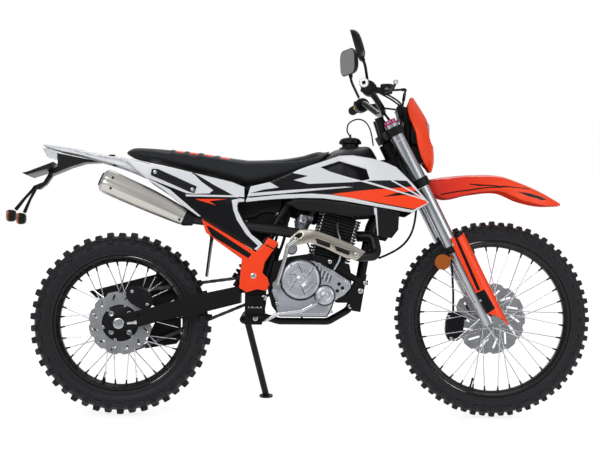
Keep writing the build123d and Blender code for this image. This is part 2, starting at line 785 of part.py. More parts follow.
LOWER_PANEL_OUTLINE = [
    (579, 752),
    (620, 766),
    (708, 765),
    (788, 755),
    (882, 738),
    (976, 722),
    (973, 660),
    (950, 630),
    (900, 640),
    (893, 712),
    (806, 704),
    (736, 718),
    (632, 728),
]
LOWER_PANEL_PLAN = [(430, 113), (600, 119), (760, 133), (880, 155), (990, 164)]
with BuildPart() as lower_panels:
    side_plate(LOWER_PANEL_OUTLINE, 60, 200)
    plan_band(LOWER_PANEL_PLAN, 10, 600, 800)
    mirror(about=Plane.XZ)

SIDE_PANEL_OUTLINE = [
    (9, 907),
    (107, 884),
    (247, 857),
    (394, 823),
    (436, 806),
    (436, 755),
    (415, 753),
    (411, 737),
    (429, 703),
    (457, 650),
    (502, 607),
    (481, 584),
    (282, 698),
    (226, 736),
    (159, 789),
    (96, 830),
    (44, 875),
]
SIDE_PANEL_PLAN = [(0, 122), (140, 138), (260, 140), (400, 136), (510, 134)]
with BuildPart() as side_panels:
    side_plate(SIDE_PANEL_OUTLINE, 60, 200)
    plan_band(SIDE_PANEL_PLAN, 8, 500, 1000)
    bar((300, 88, 800), (300, 134, 800), 8)
    mirror(about=Plane.XZ)
    add(subframe.part, mode=Mode.SUBTRACT)
    add(seat.part, mode=Mode.SUBTRACT)

# rear fender sections: x, half width low and high, bottom, shoulder and crown heights
REAR_FENDER = [
    (-286, 36, 34, 954, 957, 961),
    (-225, 60, 56, 936, 944, 953),
    (-153, 74, 70, 921, 933, 942),
    (-82, 84, 80, 902, 917, 927),
    (6, 94, 88, 876, 904, 914),
    (98, 98, 92, 838, 884, 895),
]
FENDER_WALL = 5.0
with BuildPart() as rear_fender:
    crowned_loft(REAR_FENDER)
    crowned_loft(REAR_FENDER[1:], wall=FENDER_WALL, drop=40, mode=Mode.SUBTRACT)
    with Locations(*[(RACK_BOSS_X, side * RACK_BOSS_Y, RACK_BOSS_TOP - RACK_BOSS_HEIGHT / 2) for side in (-1, 1)]):
        Cylinder(10, RACK_BOSS_HEIGHT)
        Cylinder(RACK_HOLE_RADIUS, RACK_BOSS_HEIGHT, mode=Mode.SUBTRACT)
    add(subframe.part, mode=Mode.SUBTRACT)

with BuildPart() as inner_fender:
    side_plate(
        [
            (110, 846),
            (230, 800),
            (302, 716),
            (322, 629),
            (304, 493),
            (298, 493),
            (314, 629),
            (294, 712),
            (224, 792),
            (110, 838),
        ],
        -54,
        54,
    )
    add(subframe.part, mode=Mode.SUBTRACT)

with BuildPart() as tail_lamp:
    side_plate([(-284, 945), (-268, 914), (-232, 905), (-232, 930), (-250, 941)], -44, 44)
    add(rear_fender.part, mode=Mode.SUBTRACT)

with BuildPart() as plate_bracket:
    side_plate([(-231, 928), (-80, 898), (-136, 895), (-189, 878), (-254, 850), (-266, 864), (-231, 880)], -38, 38)
    side_plate([(-240, 893), (-330, 858), (-350, 853), (-332, 846), (-250, 872)], -82, 82)
    side_plate([(-262, 862), (-284, 826), (-318, 812), (-326, 800), (-296, 800), (-272, 818), (-246, 856)], -16, 16)
    add(rear_fender.part, mode=Mode.SUBTRACT)

with BuildPart() as rear_indicators:
    bar((-314, -14, 805), (-372, -98, 716), 5)
    with BuildSketch(Plane(origin=(-380, -104, 700), z_dir=(1, 0, 0))):
        RectangleRounded(44, 42, 12)
    extrude(amount=17, both=True)
    mirror(about=Plane.XZ)
    add(plate_bracket.part, mode=Mode.SUBTRACT)

# ---------------------------------------------------------------- fork and steering
with BuildPart() as triple_clamps:
    for height in (LOWER_CLAMP, UPPER_CLAMP):
        with BuildSketch(STEER.offset(height)):
            Circle(HEAD_RADIUS)
            with Locations((FORK_OFFSET, LEG_SPACING), (FORK_OFFSET, -LEG_SPACING)):
                Circle(LEG_TUBE_RADIUS + 8)
            make_hull()
            with Locations((FORK_OFFSET, LEG_SPACING), (FORK_OFFSET, -LEG_SPACING)):
                Circle(LEG_TUBE_RADIUS + SEAM, mode=Mode.SUBTRACT)
            with Locations((-HEAD_RADIUS, 62), (-HEAD_RADIUS, -62)):
                Circle(30, mode=Mode.SUBTRACT)
        extrude(amount=CLAMP_HEIGHT)
    bar(steer(0, 0, LOWER_CLAMP), steer(0, 0, UPPER_CLAMP + CLAMP_HEIGHT), STEM_RADIUS)
    # bar risers
    for side in (-1, 1):
        bar(steer(0, side * 48, UPPER_CLAMP + 10), steer(12, side * 48, UPPER_CLAMP + 88), 16)

with BuildPart() as fork_tubes:
    for side in (-1, 1):
        bar(steer(FORK_OFFSET, side * LEG_SPACING, TUBE_LOW), steer(FORK_OFFSET, side * LEG_SPACING, TUBE_HIGH), LEG_TUBE_RADIUS)
        bar(
            steer(FORK_OFFSET, side * LEG_SPACING, TUBE_HIGH),
            steer(FORK_OFFSET, side * LEG_SPACING, TUBE_HIGH + 12),
            LEG_TUBE_RADIUS - 5,
        )

with BuildPart() as fork_sliders:
    for side in (-1, 1):
        bar(
            steer(FORK_OFFSET, side * LEG_SPACING, 40),
            steer(FORK_OFFSET, side * LEG_SPACING, TUBE_LOW - SEAM),
            SLIDER_RADIUS,
        )
        bar(
            steer(FORK_OFFSET, side * LEG_SPACING, -6),
            steer(FORK_OFFSET, side * LEG_SPACING, 84),
            SLIDER_RADIUS + 5,
        )
        bar(on_front_axle(side * (LEG_SPACING - 21)), on_front_axle(side * (LEG_SPACING + 21)), 20)
    bar(on_front_axle(-LEG_SPACING - 40), on_front_axle(LEG_SPACING + 40), AXLE_RADIUS, mode=Mode.SUBTRACT)

with BuildPart() as front_axle:
    bar(on_front_axle(-LEG_SPACING - 25), on_front_axle(LEG_SPACING + 25), AXLE_RADIUS - SEAM)
    for side in (-1, 1):
        bar(on_front_axle(side * (FRONT_HUB_END + RUNNING_GAP)), on_front_axle(side * (LEG_SPACING - 21 - SEAM)), 14)
        bar(on_front_axle(side * (LEG_SPACING + 21 + SEAM)), on_front_axle(side * (LEG_SPACING + 28)), 14)

# shields round the front of the sliders
GUARD_LOW = -40.0  # along the leg, from axle level
GUARD_HIGH = 328.0
GUARD_REACH = 60.0  # ahead of the leg's centre
GUARD_BACK = 0.0
GUARD_HALF = 34.0
GUARD_WALL = 5.0
# cut away under the shield, ahead of the leg and along it: on its outer side, then on its wheel side
GUARD_FOOT = [(-30, 58), (0, 36), (28, 12), (56, GUARD_LOW), (56, -90), (-30, -90)]
GUARD_INNER_FOOT = [(-30, 60), (100, 60), (100, -90), (-30, -90)]
guard_outer = [(GUARD_BACK, GUARD_HALF), (GUARD_REACH - 18, GUARD_HALF), (GUARD_REACH, 14)]
guard_inner = [
    (GUARD_BACK, GUARD_HALF - GUARD_WALL),
    (GUARD_REACH - 21, GUARD_HALF - GUARD_WALL),
    (GUARD_REACH - GUARD_WALL, 11),
]


def leg_side_plate(outline, low_y, high_y, mode=Mode.ADD):
    """Flat plate with an outline ahead of the left leg and along it, between two distances from the centre plane."""
    points = [steer(FORK_OFFSET + ahead, 0, along) for ahead, along in outline]
    return side_plate([(point.X, point.Z) for point in points], low_y, high_y, mode=mode)


with BuildPart() as fork_guards:
    near = [(FORK_OFFSET + x, LEG_SPACING + y) for x, y in guard_outer]
    far = [(FORK_OFFSET + x, LEG_SPACING - y) for x, y in guard_outer]
    near_in = [(FORK_OFFSET + x, LEG_SPACING + y) for x, y in guard_inner]
    far_in = [(FORK_OFFSET + x, LEG_SPACING - y) for x, y in guard_inner]
    with BuildSketch(STEER.offset(GUARD_LOW)):
        with BuildLine():
            Polyline(*near, *reversed(far), *far_in, *reversed(near_in), close=True)
        make_face()
    extrude(amount=GUARD_HIGH - GUARD_LOW)
    leg_side_plate(GUARD_FOOT, LEG_SPACING, 2 * LEG_SPACING, mode=Mode.SUBTRACT)
    leg_side_plate(GUARD_INNER_FOOT, 0, LEG_SPACING + 8, mode=Mode.SUBTRACT)
    for height in (70, 300):
        bar(
            steer(FORK_OFFSET, LEG_SPACING, height),
            steer(FORK_OFFSET, LEG_SPACING + GUARD_HALF - 2, height),
            7,
        )
    mirror(about=Plane.XZ)
    add(fork_sliders.part, mode=Mode.SUBTRACT)
    add(fork_tubes.part, mode=Mode.SUBTRACT)

# front fender sections, from the axle: x, half width low and high, bottom, shoulder and crown heights
FRONT_FENDER = [
    (-232, 60, 56, 455, 483, 495),
    (-176, 68, 62, 427, 491, 505),
    (-79, 74, 68, 445, 499, 513),
    (20, 74, 68, 453, 497, 511),
    (96, 70, 64, 423, 473, 487),
    (171, 60, 54, 406, 441, 455),
    (244, 24, 22, 405, 409, 415),
]
with BuildPart() as front_fender:
    crowned_loft(FRONT_FENDER, FRONT_AXLE)
    crowned_loft(FRONT_FENDER[:-1], FRONT_AXLE, FENDER_WALL, 30, mode=Mode.SUBTRACT)
    side_plate(at_axle(FRONT_AXLE, [(-260, 449), (-260, 461), (-80, 507), (-80, 495)]), -26, 26)
    add(triple_clamps.part, mode=Mode.SUBTRACT)

# mask sections, from the axle: height, front and rear x, half width
MASK = [
    (522, -216, -226, 26),
    (560, -208, -254, 58),
    (614, -211, -273, 84),
    (660, -217, -282, 94),
    (710, -235, -302, 88),
    (750, -258, -308, 62),
    (791, -284, -294, 18),
]
MASK_WALL = 5.0
LENS_HEIGHT = 657.0
LENS_WIDTH = 102.0
LENS_TALL = 84.0
with BuildPart() as headlamp_mask:
    for z, nose, rear, half in MASK:
        with BuildSketch(Plane(front(0, 0, z))):
            with BuildLine():
                ThreePointArc((rear, half), (nose, 0), (rear, -half))
                Line((rear, -half), (rear - MASK_WALL, -half))
                ThreePointArc((rear - MASK_WALL, -half), (nose - MASK_WALL, 0), (rear - MASK_WALL, half))
                Line((rear - MASK_WALL, half), (rear, half))
            make_face()
    loft(ruled=True)
    with BuildSketch(Plane.YZ.offset(FRONT_AXLE.X - 320)):
        with Locations((0, FRONT_AXLE.Z + LENS_HEIGHT)):
            RectangleRounded(LENS_WIDTH + 2, LENS_TALL + 2, 16)
    extrude(amount=200, mode=Mode.SUBTRACT)

with BuildPart() as headlamp:
    with BuildSketch(Plane.YZ.offset(FRONT_AXLE.X - 298)):
        with Locations((0, FRONT_AXLE.Z + LENS_HEIGHT)):
            RectangleRounded(LENS_WIDTH, LENS_TALL, 15)
    extrude(amount=62)
    with BuildSketch(Plane.YZ.offset(FRONT_AXLE.X - 236)):
        with Locations((0, FRONT_AXLE.Z + LENS_HEIGHT)):
            RectangleRounded(LENS_WIDTH, LENS_TALL, 15)
    extrude(amount=10, taper=35)
    side_plate(at_axle(FRONT_AXLE, [(-280, 549), (-298, 599), (-298, 615), (-260, 615), (-238, 554)]), -44, 44)
    add(headlamp_mask.part, mode=Mode.SUBTRACT)
    add(triple_clamps.part, mode=Mode.SUBTRACT)

# right half of the handlebar, from the axle
BAR_HALF_ROUTE = [(-483, -BAR_HALF, 789), (-448, -190, 791), (-402, -92, 741), (-394, -30, 735)]
BAR_ROUTE = [front(*p) for p in BAR_HALF_ROUTE] + [front(x, -y, z) for x, y, z in reversed(BAR_HALF_ROUTE)]
GRIP_LENGTH = 125.0
grip_run = (BAR_ROUTE[1] - BAR_ROUTE[0]).normalized()
bar_end = BAR_ROUTE[0]
with BuildPart() as handlebar:
    bent_tube(BAR_ROUTE, 30, BAR_RADIUS)
    add(triple_clamps.part, mode=Mode.SUBTRACT)
    bar(bar_end - grip_run, bar_end + grip_run * BAR_BORE_DEPTH, BAR_BORE, mode=Mode.SUBTRACT)
    mirrored_end = Vector(bar_end.X, -bar_end.Y, bar_end.Z)
    mirrored_run = Vector(grip_run.X, -grip_run.Y, grip_run.Z)
    bar(mirrored_end - mirrored_run, mirrored_end + mirrored_run * BAR_BORE_DEPTH, BAR_BORE, mode=Mode.SUBTRACT)

with BuildPart() as grips:
    bar(bar_end + grip_run * 2, bar_end + grip_run * GRIP_LENGTH, 17)
    bar(bar_end + grip_run * GRIP_LENGTH, bar_end + grip_run * (GRIP_LENGTH + 8), 24)
    bar(bar_end, bar_end + grip_run * (GRIP_LENGTH + 20), BAR_RADIUS + SEAM, mode=Mode.SUBTRACT)
    mirror(about=Plane.XZ)

# switch housings, lever perches, levers and the brake reservoir
PERCH_AT = 160.0
perch = bar_end + grip_run * PERCH_AT
with BuildPart() as controls:
    bar(perch - grip_run * 22, perch + grip_run * 26, 27)
    bar(perch, perch + Vector(52, 14, -6), 12)
    bent_tube([perch + Vector(50, 16, -8), perch + Vector(74, -56, -12), perch + Vector(78, -190, -4)], 40, 6)
    bar(perch + Vector(78, -186, -4), perch + Vector(78, -200, -2), 9)
    bar(perch - grip_run * 30, perch + grip_run * 30, BAR_RADIUS + SEAM, mode=Mode.SUBTRACT)
    mirror(about=Plane.XZ)
    with Locations(perch + Vector(62, 26, 2)):
        Box(42, 46, 32)
    add(handlebar.part, mode=Mode.SUBTRACT)

with BuildPart() as instrument:
    side_plate(at_axle(FRONT_AXLE, [(-348, 741), (-298, 725), (-292, 743), (-340, 761)]), -48, 48)
    side_plate(at_axle(FRONT_AXLE, [(-320, 701), (-308, 701), (-306, 731), (-318, 735)]), -20, 20)
    add(headlamp.part, mode=Mode.SUBTRACT)

# mirrors: a stem from each perch, then a shallow head; each is set by hand, so the sides differ
MIRROR_STEM = 5.0
MIRROR_WIDTH = 150.0
MIRROR_TALL = 100.0
MIRROR_DEPTH = 26.0
GLASS_MARGIN = 4.0
GLASS_THICKNESS = 2.0
# side, centre from the axle, and the way its back faces
MIRRORS = [(-1, (-508, -322, 926), (1, -0.12, 0.30)), (1, (-506, 322, 966), (1, 0.35, 0.05))]


def mirror_plane(centre, back):
    """Plane of a mirror's face, with local x across it."""
    return Plane(origin=front(*centre), x_dir=(-back[1], back[0], 0), z_dir=back)


with BuildPart() as mirrors:
    for side, centre, back in MIRRORS:
        head = mirror_plane(centre, back)
        foot = Vector(perch.X, side * abs(perch.Y), perch.Z) + Vector(-4, -side * 6, 18)
        socket = head.from_local_coords(Vector(0, -MIRROR_TALL / 2 + 22, 8))
        below = head.from_local_coords(Vector(0, -MIRROR_TALL / 2 - 20, 12))
        halfway = (foot + below) / 2 + Vector(0, side * 10, 0)
        bent_tube([foot, halfway, below, socket], 50, MIRROR_STEM)
        with BuildSketch(head):
            RectangleRounded(MIRROR_WIDTH, MIRROR_TALL, 34)
        extrude(amount=MIRROR_DEPTH, taper=24)
    add(controls.part, mode=Mode.SUBTRACT)
    add(handlebar.part, mode=Mode.SUBTRACT)

with BuildPart() as mirror_glass:
    for _, centre, back in MIRRORS:
        with BuildSketch(mirror_plane(centre, back).offset(-GLASS_THICKNESS - SEAM)):
            RectangleRounded(MIRROR_WIDTH - 2 * GLASS_MARGIN, MIRROR_TALL - 2 * GLASS_MARGIN, 30)
        extrude(amount=GLASS_THICKNESS)

with BuildPart() as front_caliper:
    side_plate(at_axle(FRONT_AXLE, [(-162, -75), (-108, -87), (-90, -19), (-98, 23), (-156, 21)]), 34, 80)
    with BuildSketch(FRONT_WHEEL.offset(FRONT_DISC_Y - RUNNING_GAP / 2)):
        Circle(FRONT_DISC_RADIUS + RUNNING_GAP)
    extrude(amount=DISC_THICKNESS + RUNNING_GAP, mode=Mode.SUBTRACT)
    side_plate(at_axle(FRONT_AXLE, [(-130, -21), (-130, 17), (-66, 62), (-48, 40), (-88, -16)]), 56, 66)
    bar(steer(24, 58, 74), steer(24, LEG_SPACING - 10, 74), 8)
    add(fork_sliders.part, mode=Mode.SUBTRACT)

with BuildPart() as brake_hose:
    bent_tube(
        [
            perch + Vector(70, 44, 0),
            front(-320, -110, 806),
            front(-312, 40, 806),
            front(-320, 98, 736),
            front(-264, 99, 579),
            front(-224, 92, 499),
            front(-160, 66, 349),
            front(-136, 60, 209),
            front(-130, 60, 89),
            front(-130, 60, 16),
        ],
        16,
        4,
    )
    add(controls.part, mode=Mode.SUBTRACT)
    add(front_caliper.part, mode=Mode.SUBTRACT)

# reflectors behind the fork guards' tops
REFLECTOR_ALONG = 262.0
REFLECTOR_RADIUS = 27.0
reflector_centre = steer(FORK_OFFSET - LEG_TUBE_RADIUS - REFLECTOR_RADIUS - 3, -LEG_SPACING - 24, REFLECTOR_ALONG)
with BuildPart() as reflectors:
    with BuildSketch(Plane(origin=reflector_centre, x_dir=(1, 0, 0), z_dir=(0, -1, 0))):
        Circle(REFLECTOR_RADIUS)
    extrude(amount=8)
    bar(steer(FORK_OFFSET - 6, -LEG_SPACING, REFLECTOR_ALONG), reflector_centre + Vector(0, 0.5, 0), 8)
    mirror(about=Plane.XZ)
    add(fork_tubes.part, mode=Mode.SUBTRACT)
    add(fork_sliders.part, mode=Mode.SUBTRACT)
    add(fork_guards.part, mode=Mode.SUBTRACT)

with BuildPart() as clutch_cable:
    bent_tube([(905, -150, 560), (960, -152, 582), (1008, -152, 622), (1032, -152, 680), (1036, -152, 735)], 26, 4)

# ---------------------------------------------------------------- lean, centre and write
PIECES = {
    "frame": frame,
    "subframe": subframe,
    "frame_guards": frame_guards,
    "swingarm": swingarm,
    "rear_axle": rear_axle,
    "rear_caliper": rear_caliper,
    "chain_guard": chain_guard,
    "rear_shock": rear_shock,
    "chain": chain,
    "crankcase": crankcase,
    "engine_covers": engine_covers,
    "cylinder": cylinder,
    "intake": intake,
    "exhaust_pipe": exhaust_pipe,
    "exhaust_shield": exhaust_shield,
    "muffler": muffler,
    "kick_lever": kick_lever,
    "footpegs": footpegs,
    "pedals": pedals,
    "fuel_tank": fuel_tank,
    "fuel_cap": fuel_cap,
    "seat": seat,
    "shrouds": shrouds,
    "lower_panels": lower_panels,
    "side_panels": side_panels,
    "rear_fender": rear_fender,
    "inner_fender": inner_fender,
    "tail_lamp": tail_lamp,
    "plate_bracket": plate_bracket,
    "rear_indicators": rear_indicators,
    "clutch_cable": clutch_cable,
    "side_stand": side_stand,
    "rear_tyre": rear_tyre,
    "rear_rim": rear_rim,
    "rear_hub": rear_hub,
    "rear_disc": rear_disc,
    "rear_sprocket": rear_sprocket,
    "front_tyre": front_tyre,
    "front_rim": front_rim,
    "front_hub": front_hub,
    "front_disc": front_disc,
    "triple_clamps": triple_clamps,
    "fork_tubes": fork_tubes,
    "fork_sliders": fork_sliders,
    "front_axle": front_axle,
    "fork_guards": fork_guards,
    "front_fender": front_fender,
    "headlamp_mask": headlamp_mask,
    "headlamp": headlamp,
    "handlebar": handlebar,
    "grips": grips,
    "controls": controls,
    "instrument": instrument,
    "mirrors": mirrors,
    "mirror_glass": mirror_glass,
    "front_caliper": front_caliper,
    "brake_hose": brake_hose,
    "reflectors": reflectors,
}

leaned = {name: piece.part.rotate(Axis.X, -LEAN) for name, piece in PIECES.items()}
whole = Compound(children=[Compound(part.wrapped) for part in leaned.values()]).bounding_box()
centre = Vector((whole.min.X + whole.max.X) / 2, (whole.min.Y + whole.max.Y) / 2, 0)
os.makedirs("parts", exist_ok=True)
for name, part in leaned.items():
    posed = part.translate(-centre)
    posed.label = name
    export_step(posed, f"parts/{name}.step")
print("pieces", len(leaned), "centre", centre, "lowest", whole.min.Z, "size", whole.size)
for name, value in (
    ("rear_axle", REAR_AXLE),
    ("front_axle", FRONT_AXLE),
    ("steer_origin", STEER.origin),
    ("steer_up", STEER_UP),
    ("stand_pivot", STAND_PIVOT),
    ("stand_axis", STAND_AXIS),
    ("bar_end", bar_end),
    ("bar_axis", -grip_run),
    ("rack_top", Vector(RACK_BOSS_X, RACK_BOSS_Y, RACK_BOSS_TOP)),
    ("spool", Vector(70, ARM_OUTER, 356)),
):
    print("KEY", name, value.X, value.Y, value.Z)
print("KEY stand_sweep", STAND_SWEEP)
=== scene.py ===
"""Dual sport motorcycle on its side stand, dressed for looks.

New pieces are drawn with the machine upright, in millimetres: X forward, Y to the rider's left, Z up from
the road. piece() leans each one into the frame. Outlines, profiles, routes and tables may be written as
text: "x,y x,y" or "x,y,z x,y,z".
"""

from math import asin, cos, hypot, pi, radians, sin

import bmesh
import bpy
import numpy as np
from mathutils import Matrix, Quaternion, Vector
from mathutils.geometry import delaunay_2d_cdt


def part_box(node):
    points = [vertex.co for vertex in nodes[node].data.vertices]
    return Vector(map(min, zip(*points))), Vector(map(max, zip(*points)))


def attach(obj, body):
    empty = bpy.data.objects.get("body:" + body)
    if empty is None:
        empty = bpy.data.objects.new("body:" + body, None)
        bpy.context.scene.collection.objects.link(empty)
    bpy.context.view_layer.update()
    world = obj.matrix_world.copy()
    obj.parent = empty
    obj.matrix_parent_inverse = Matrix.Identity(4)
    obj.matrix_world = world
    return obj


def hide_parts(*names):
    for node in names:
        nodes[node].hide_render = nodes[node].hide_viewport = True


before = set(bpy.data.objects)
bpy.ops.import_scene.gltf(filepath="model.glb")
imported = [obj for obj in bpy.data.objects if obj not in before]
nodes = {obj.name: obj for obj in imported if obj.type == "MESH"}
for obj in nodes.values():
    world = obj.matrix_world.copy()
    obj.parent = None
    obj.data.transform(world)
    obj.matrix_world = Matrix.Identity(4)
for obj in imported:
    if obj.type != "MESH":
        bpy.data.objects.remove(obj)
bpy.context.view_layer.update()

# ---------------------------------------------------------------- places, as the part's source has them
AHEAD, LEFT, UP = Vector((1, 0, 0)), Vector((0, 1, 0)), Vector((0, 0, 1))
RIGHT = Vector((0, -1, 0))
LEAN = Matrix.Rotation(radians(-11.0), 4, "X")
REAR_AXLE = Vector((0.0, 0.0, 326.499))
FRONT_AXLE = Vector((1320.0, 0.0, 350.916))
FRONT_ORIGIN = (1320, 351)  # X and Z that outlines near the headlamp are given from
STEER_ORIGIN = Vector((1265.409, 0.0, 323.698))
STEER_UP = Vector((-0.4462, 0.0, 0.8949))
STEER_FORWARD = Vector((0.8949, 0.0, 0.4462))
LEG_AHEAD = 35.0
LEG_SPACING = 105.0

axle_low, axle_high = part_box("front_axle")
TO_PLACE = Matrix.Translation((axle_low + axle_high) / 2 - (LEAN @ FRONT_AXLE) / 1000)
TO_FRAME = TO_PLACE @ LEAN @ Matrix.Scale(0.001, 4)


def steer(forward, left, up):
    """Point given from the steering axis at axle level."""
    return STEER_ORIGIN + STEER_FORWARD * forward + Vector((0, left, 0)) + STEER_UP * up


def front(x, y, z):
    """Point given from the front axle."""
    return FRONT_AXLE + Vector((x, y, z))


def points(given):
    """List of points, from text such as "1,2 3,4" or as it is."""
    if isinstance(given, str):
        return [tuple(float(number) for number in point.split(",")) for point in given.split()]
    return given


# ---------------------------------------------------------------- materials
def colour(code):
    """Linear RGBA of a #rrggbb code."""
    parts = [int(code[i : i + 2], 16) / 255 for i in (1, 3, 5)]
    return (*[c / 12.92 if c <= 0.04045 else ((c + 0.055) / 1.055) ** 2.4 for c in parts], 1.0)


def node(tree, kind, inputs, **settings):
    """Outputs of a new shader node. inputs gives a value or another node's socket for each of its own."""
    made = tree.nodes.new("ShaderNode" + kind)
    for key, value in settings.items():
        setattr(made, key, value)
    for key, value in inputs.items():
        if isinstance(value, bpy.types.NodeSocket):
            tree.links.new(value, made.inputs[key])
        else:
            made.inputs[key].default_value = value
    return made.outputs


GRAIN_DEPTH = 0.0004
ROUGH_SPREAD = 0.07
CORNER_START, CORNER_END = 0.97, 0.82  # cosine between the softened and the flat normal


def combined(tree, operation, first, second):
    """Result of a Math node."""
    return node(tree, "Math", {0: first, 1: second}, operation=operation)[0]


def material(
    name, base, rough, metal=0.0, mottle=0.08, patch=9.0, grain=900.0, bump=0.12, stretch=(1, 1, 1),
    edge=0.0, wear_and_highlight=None, leather=False, fade=None, **fixed,
):
    """Principled finish with patchy colour and roughness, a fine grain, softened edges and corners painted
    lighter as wear and highlight.

    fade gives a second colour along X between two places, in metres.
    """
    made = bpy.data.materials.new(name)
    made.use_nodes = True
    tree = made.node_tree
    shader = tree.nodes["Principled BSDF"]

    def new(kind, inputs, **settings):
        return node(tree, kind, inputs, **settings)

    def blend(factor, first, second):
        return new("Mix", {"Factor": factor, "A": first, "B": second}, data_type="RGBA")["Result"]

    place = new("TexCoord", {})["Object"]
    scaled = new("Mapping", {"Scale": stretch, "Vector": place})["Vector"]
    patches = new("TexNoise", {"Scale": patch, "Detail": 4, "Vector": scaled})["Fac"]
    low, high = [(*[min(1, c * (1 + way * mottle)) for c in colour(base)[:3]], 1) for way in (-1, 1)]
    surface = blend(patches, low, high)
    if fade:
        other, start, end = fade
        along = new("SeparateXYZ", {"Vector": place})["X"]
        ends = {"From Min": start, "From Max": end, "Value": along}
        faded = new("MapRange", ends, interpolation_type="SMOOTHSTEP")["Result"]
        surface = blend(faded, surface, colour(other))

    kind, height = ("TexVoronoi", "Distance") if leather else ("TexNoise", "Fac")
    fine = new(kind, {"Scale": grain, "Vector": scaled})[height]
    relief = {"Strength": bump, "Distance": GRAIN_DEPTH, "Height": fine}
    if edge:
        relief["Normal"] = soft = new("Bevel", {"Radius": edge}, samples=4)["Normal"]
        # corners take the lighter colour, partly as wear and partly as a painted highlight along the edges
        if wear_and_highlight:
            flat = new("NewGeometry", {})["Normal"]
            across = new("VectorMath", {0: soft, 1: flat}, operation="DOT_PRODUCT")["Value"]
            ends = {"From Min": CORNER_START, "From Max": CORNER_END, "Value": across}
            corner = new("MapRange", ends)["Result"]
            surface = blend(corner, surface, colour(wear_and_highlight))

    low, high = max(0.02, rough - ROUGH_SPREAD), min(1, rough + ROUGH_SPREAD)
    ends = {"To Min": low, "To Max": high, "Value": patches}
    for socket, output in (
        ("Roughness", new("MapRange", ends)["Result"]),
        ("Base Color", surface),
        ("Normal", new("Bump", relief)["Normal"]),
    ):
        tree.links.new(output, shader.inputs[socket])
    for socket, value in {"Metallic": metal, **fixed}.items():
        shader.inputs[socket.replace("_", " ")].default_value = value
    return made


COAT = {"Coat_Weight": 0.3, "Coat_Roughness": 0.12}
DULL = {"Specular_IOR_Level": 0.2}
THIN_COAT = {"Specular_IOR_Level": 0.3, "Coat_Weight": 0.12}
# the tyre's lighter block edges are a painted highlight on the lugs
TYRE = material(
    "tyre_rubber", "#0f1015", 0.56, patch=30, grain=1500, bump=0.3, edge=0.0018, wear_and_highlight="#3d3f47",
    Specular_IOR_Level=0.35,
)
RUBBER = material("black_rubber", "#0c0d0f", 0.66, grain=1200, bump=0.25, edge=0.0015, **DULL)
RIM = material("black_rim", "#09090b", 0.3, edge=0.001, wear_and_highlight="#2a2b2e", **COAT)
FRAME = material("black_frame", "#0d0e10", 0.36, edge=0.0015, wear_and_highlight="#26272a", patch=14, bump=0.2, **DULL)
STEEL = material("silver_steel", "#c3c5c8", 0.26, 1.0, edge=0.0008, bump=0.06)
CHAIN = material("chain_steel", "#5c5b5b", 0.42, 1.0, patch=70, mottle=0.25, edge=0.0008)
DISC = material("disc_steel", "#b3b5b8", 0.3, 1.0, patch=40, mottle=0.1, edge=0.0006)
CAST = material("cast_alloy", "#b9bcc3", 0.38, 0.9, patch=22, grain=700, bump=0.35, edge=0.002)
DARK_CAST = material(
    "dark_alloy", "#131417", 0.46, 0.25, grain=700, bump=0.35, edge=0.0012, wear_and_highlight="#4a4c50", **DULL
)
FIN = material("fin_alloy", "#141518", 0.46, 0.5, grain=800, bump=0.3, edge=0.0012, wear_and_highlight="#77797d")
FORK = material("fork_alloy", "#b4b7bc", 0.27, 1.0, stretch=(1, 1, 0.2), edge=0.001)
CHROME = material("fork_chrome", "#ccced2", 0.12, 1.0, mottle=0.03, bump=0.03, edge=0.0008)
MUFFLER = material(
    "muffler_alloy", "#cfccc6", 0.33, 1.0, mottle=0.05, stretch=(0.12, 1, 1), grain=1600, bump=0.15
)
SHIELD = material("shield_alloy", "#b0aaa0", 0.3, 1.0, mottle=0.08, grain=1300, edge=0.0008)
PIPE = material("pipe_steel", "#1b1a1b", 0.4, 0.5, patch=16, mottle=0.3, edge=0.0008)
WHITE = material("white_plastic", "#dcdee2", 0.34, mottle=0.02, bump=0.05, edge=0.0008, **COAT)
SILVER_PLASTIC = material("silver_plastic", "#a9acb2", 0.36, 0.1, mottle=0.04, bump=0.06, **COAT)
ORANGE = material("orange_plastic", "#ff430f", 0.38, mottle=0.03, bump=0.06, edge=0.001, **THIN_COAT)
FENDER = material(
    "fender_plastic", "#d81a0a", 0.4, mottle=0.03, bump=0.06, fade=("#fb4410", 0.42, 0.80), edge=0.001,
    **THIN_COAT,
)
BLACK = material("black_plastic", "#0f1012", 0.42, grain=1100, bump=0.2, edge=0.0012, **DULL)
GLOSS = material(
    "black_graphic", "#0d0e11", 0.3, mottle=0.05, bump=0.04, Coat_Weight=0.08, Coat_Roughness=0.12, **DULL
)
TANK = material("tank_plastic", "#1b1c20", 0.44, grain=1300, bump=0.2, edge=0.001, **DULL)
SEAT = material("seat_cover", "#1f2125", 0.6, grain=520, bump=0.3, leather=True, Sheen_Weight=0.1, **DULL)
SEAT_RIB = material("seat_rib", "#ef3d1c", 0.6, grain=520, bump=0.3, leather=True)
LENS = material(
    "lamp_lens", "#dfe3e8", 0.08, mottle=0.02, patch=60, bump=0.2, Transmission_Weight=0.75, IOR=1.46
)
RED_LENS = material("red_lens", "#b3161a", 0.12, patch=60, grain=260, leather=True, bump=0.25, **COAT)
AMBER = material("amber_lens", "#a4520c", 0.14, patch=60, grain=240, leather=True, bump=0.3, **COAT)
MIRROR = material("mirror_face", "#e4e6e8", 0.04, 1.0, mottle=0.01, bump=0.01)
MAGENTA = material("magenta_anodised", "#d81a72", 0.28, 0.75, edge=0.0008)
YELLOW = material("switch_yellow", "#e8c21c", 0.4, edge=0.0006)
FLOOR = material("floor_paint", "#f4f4f4", 0.7, mottle=0.01, patch=2, bump=0.02)

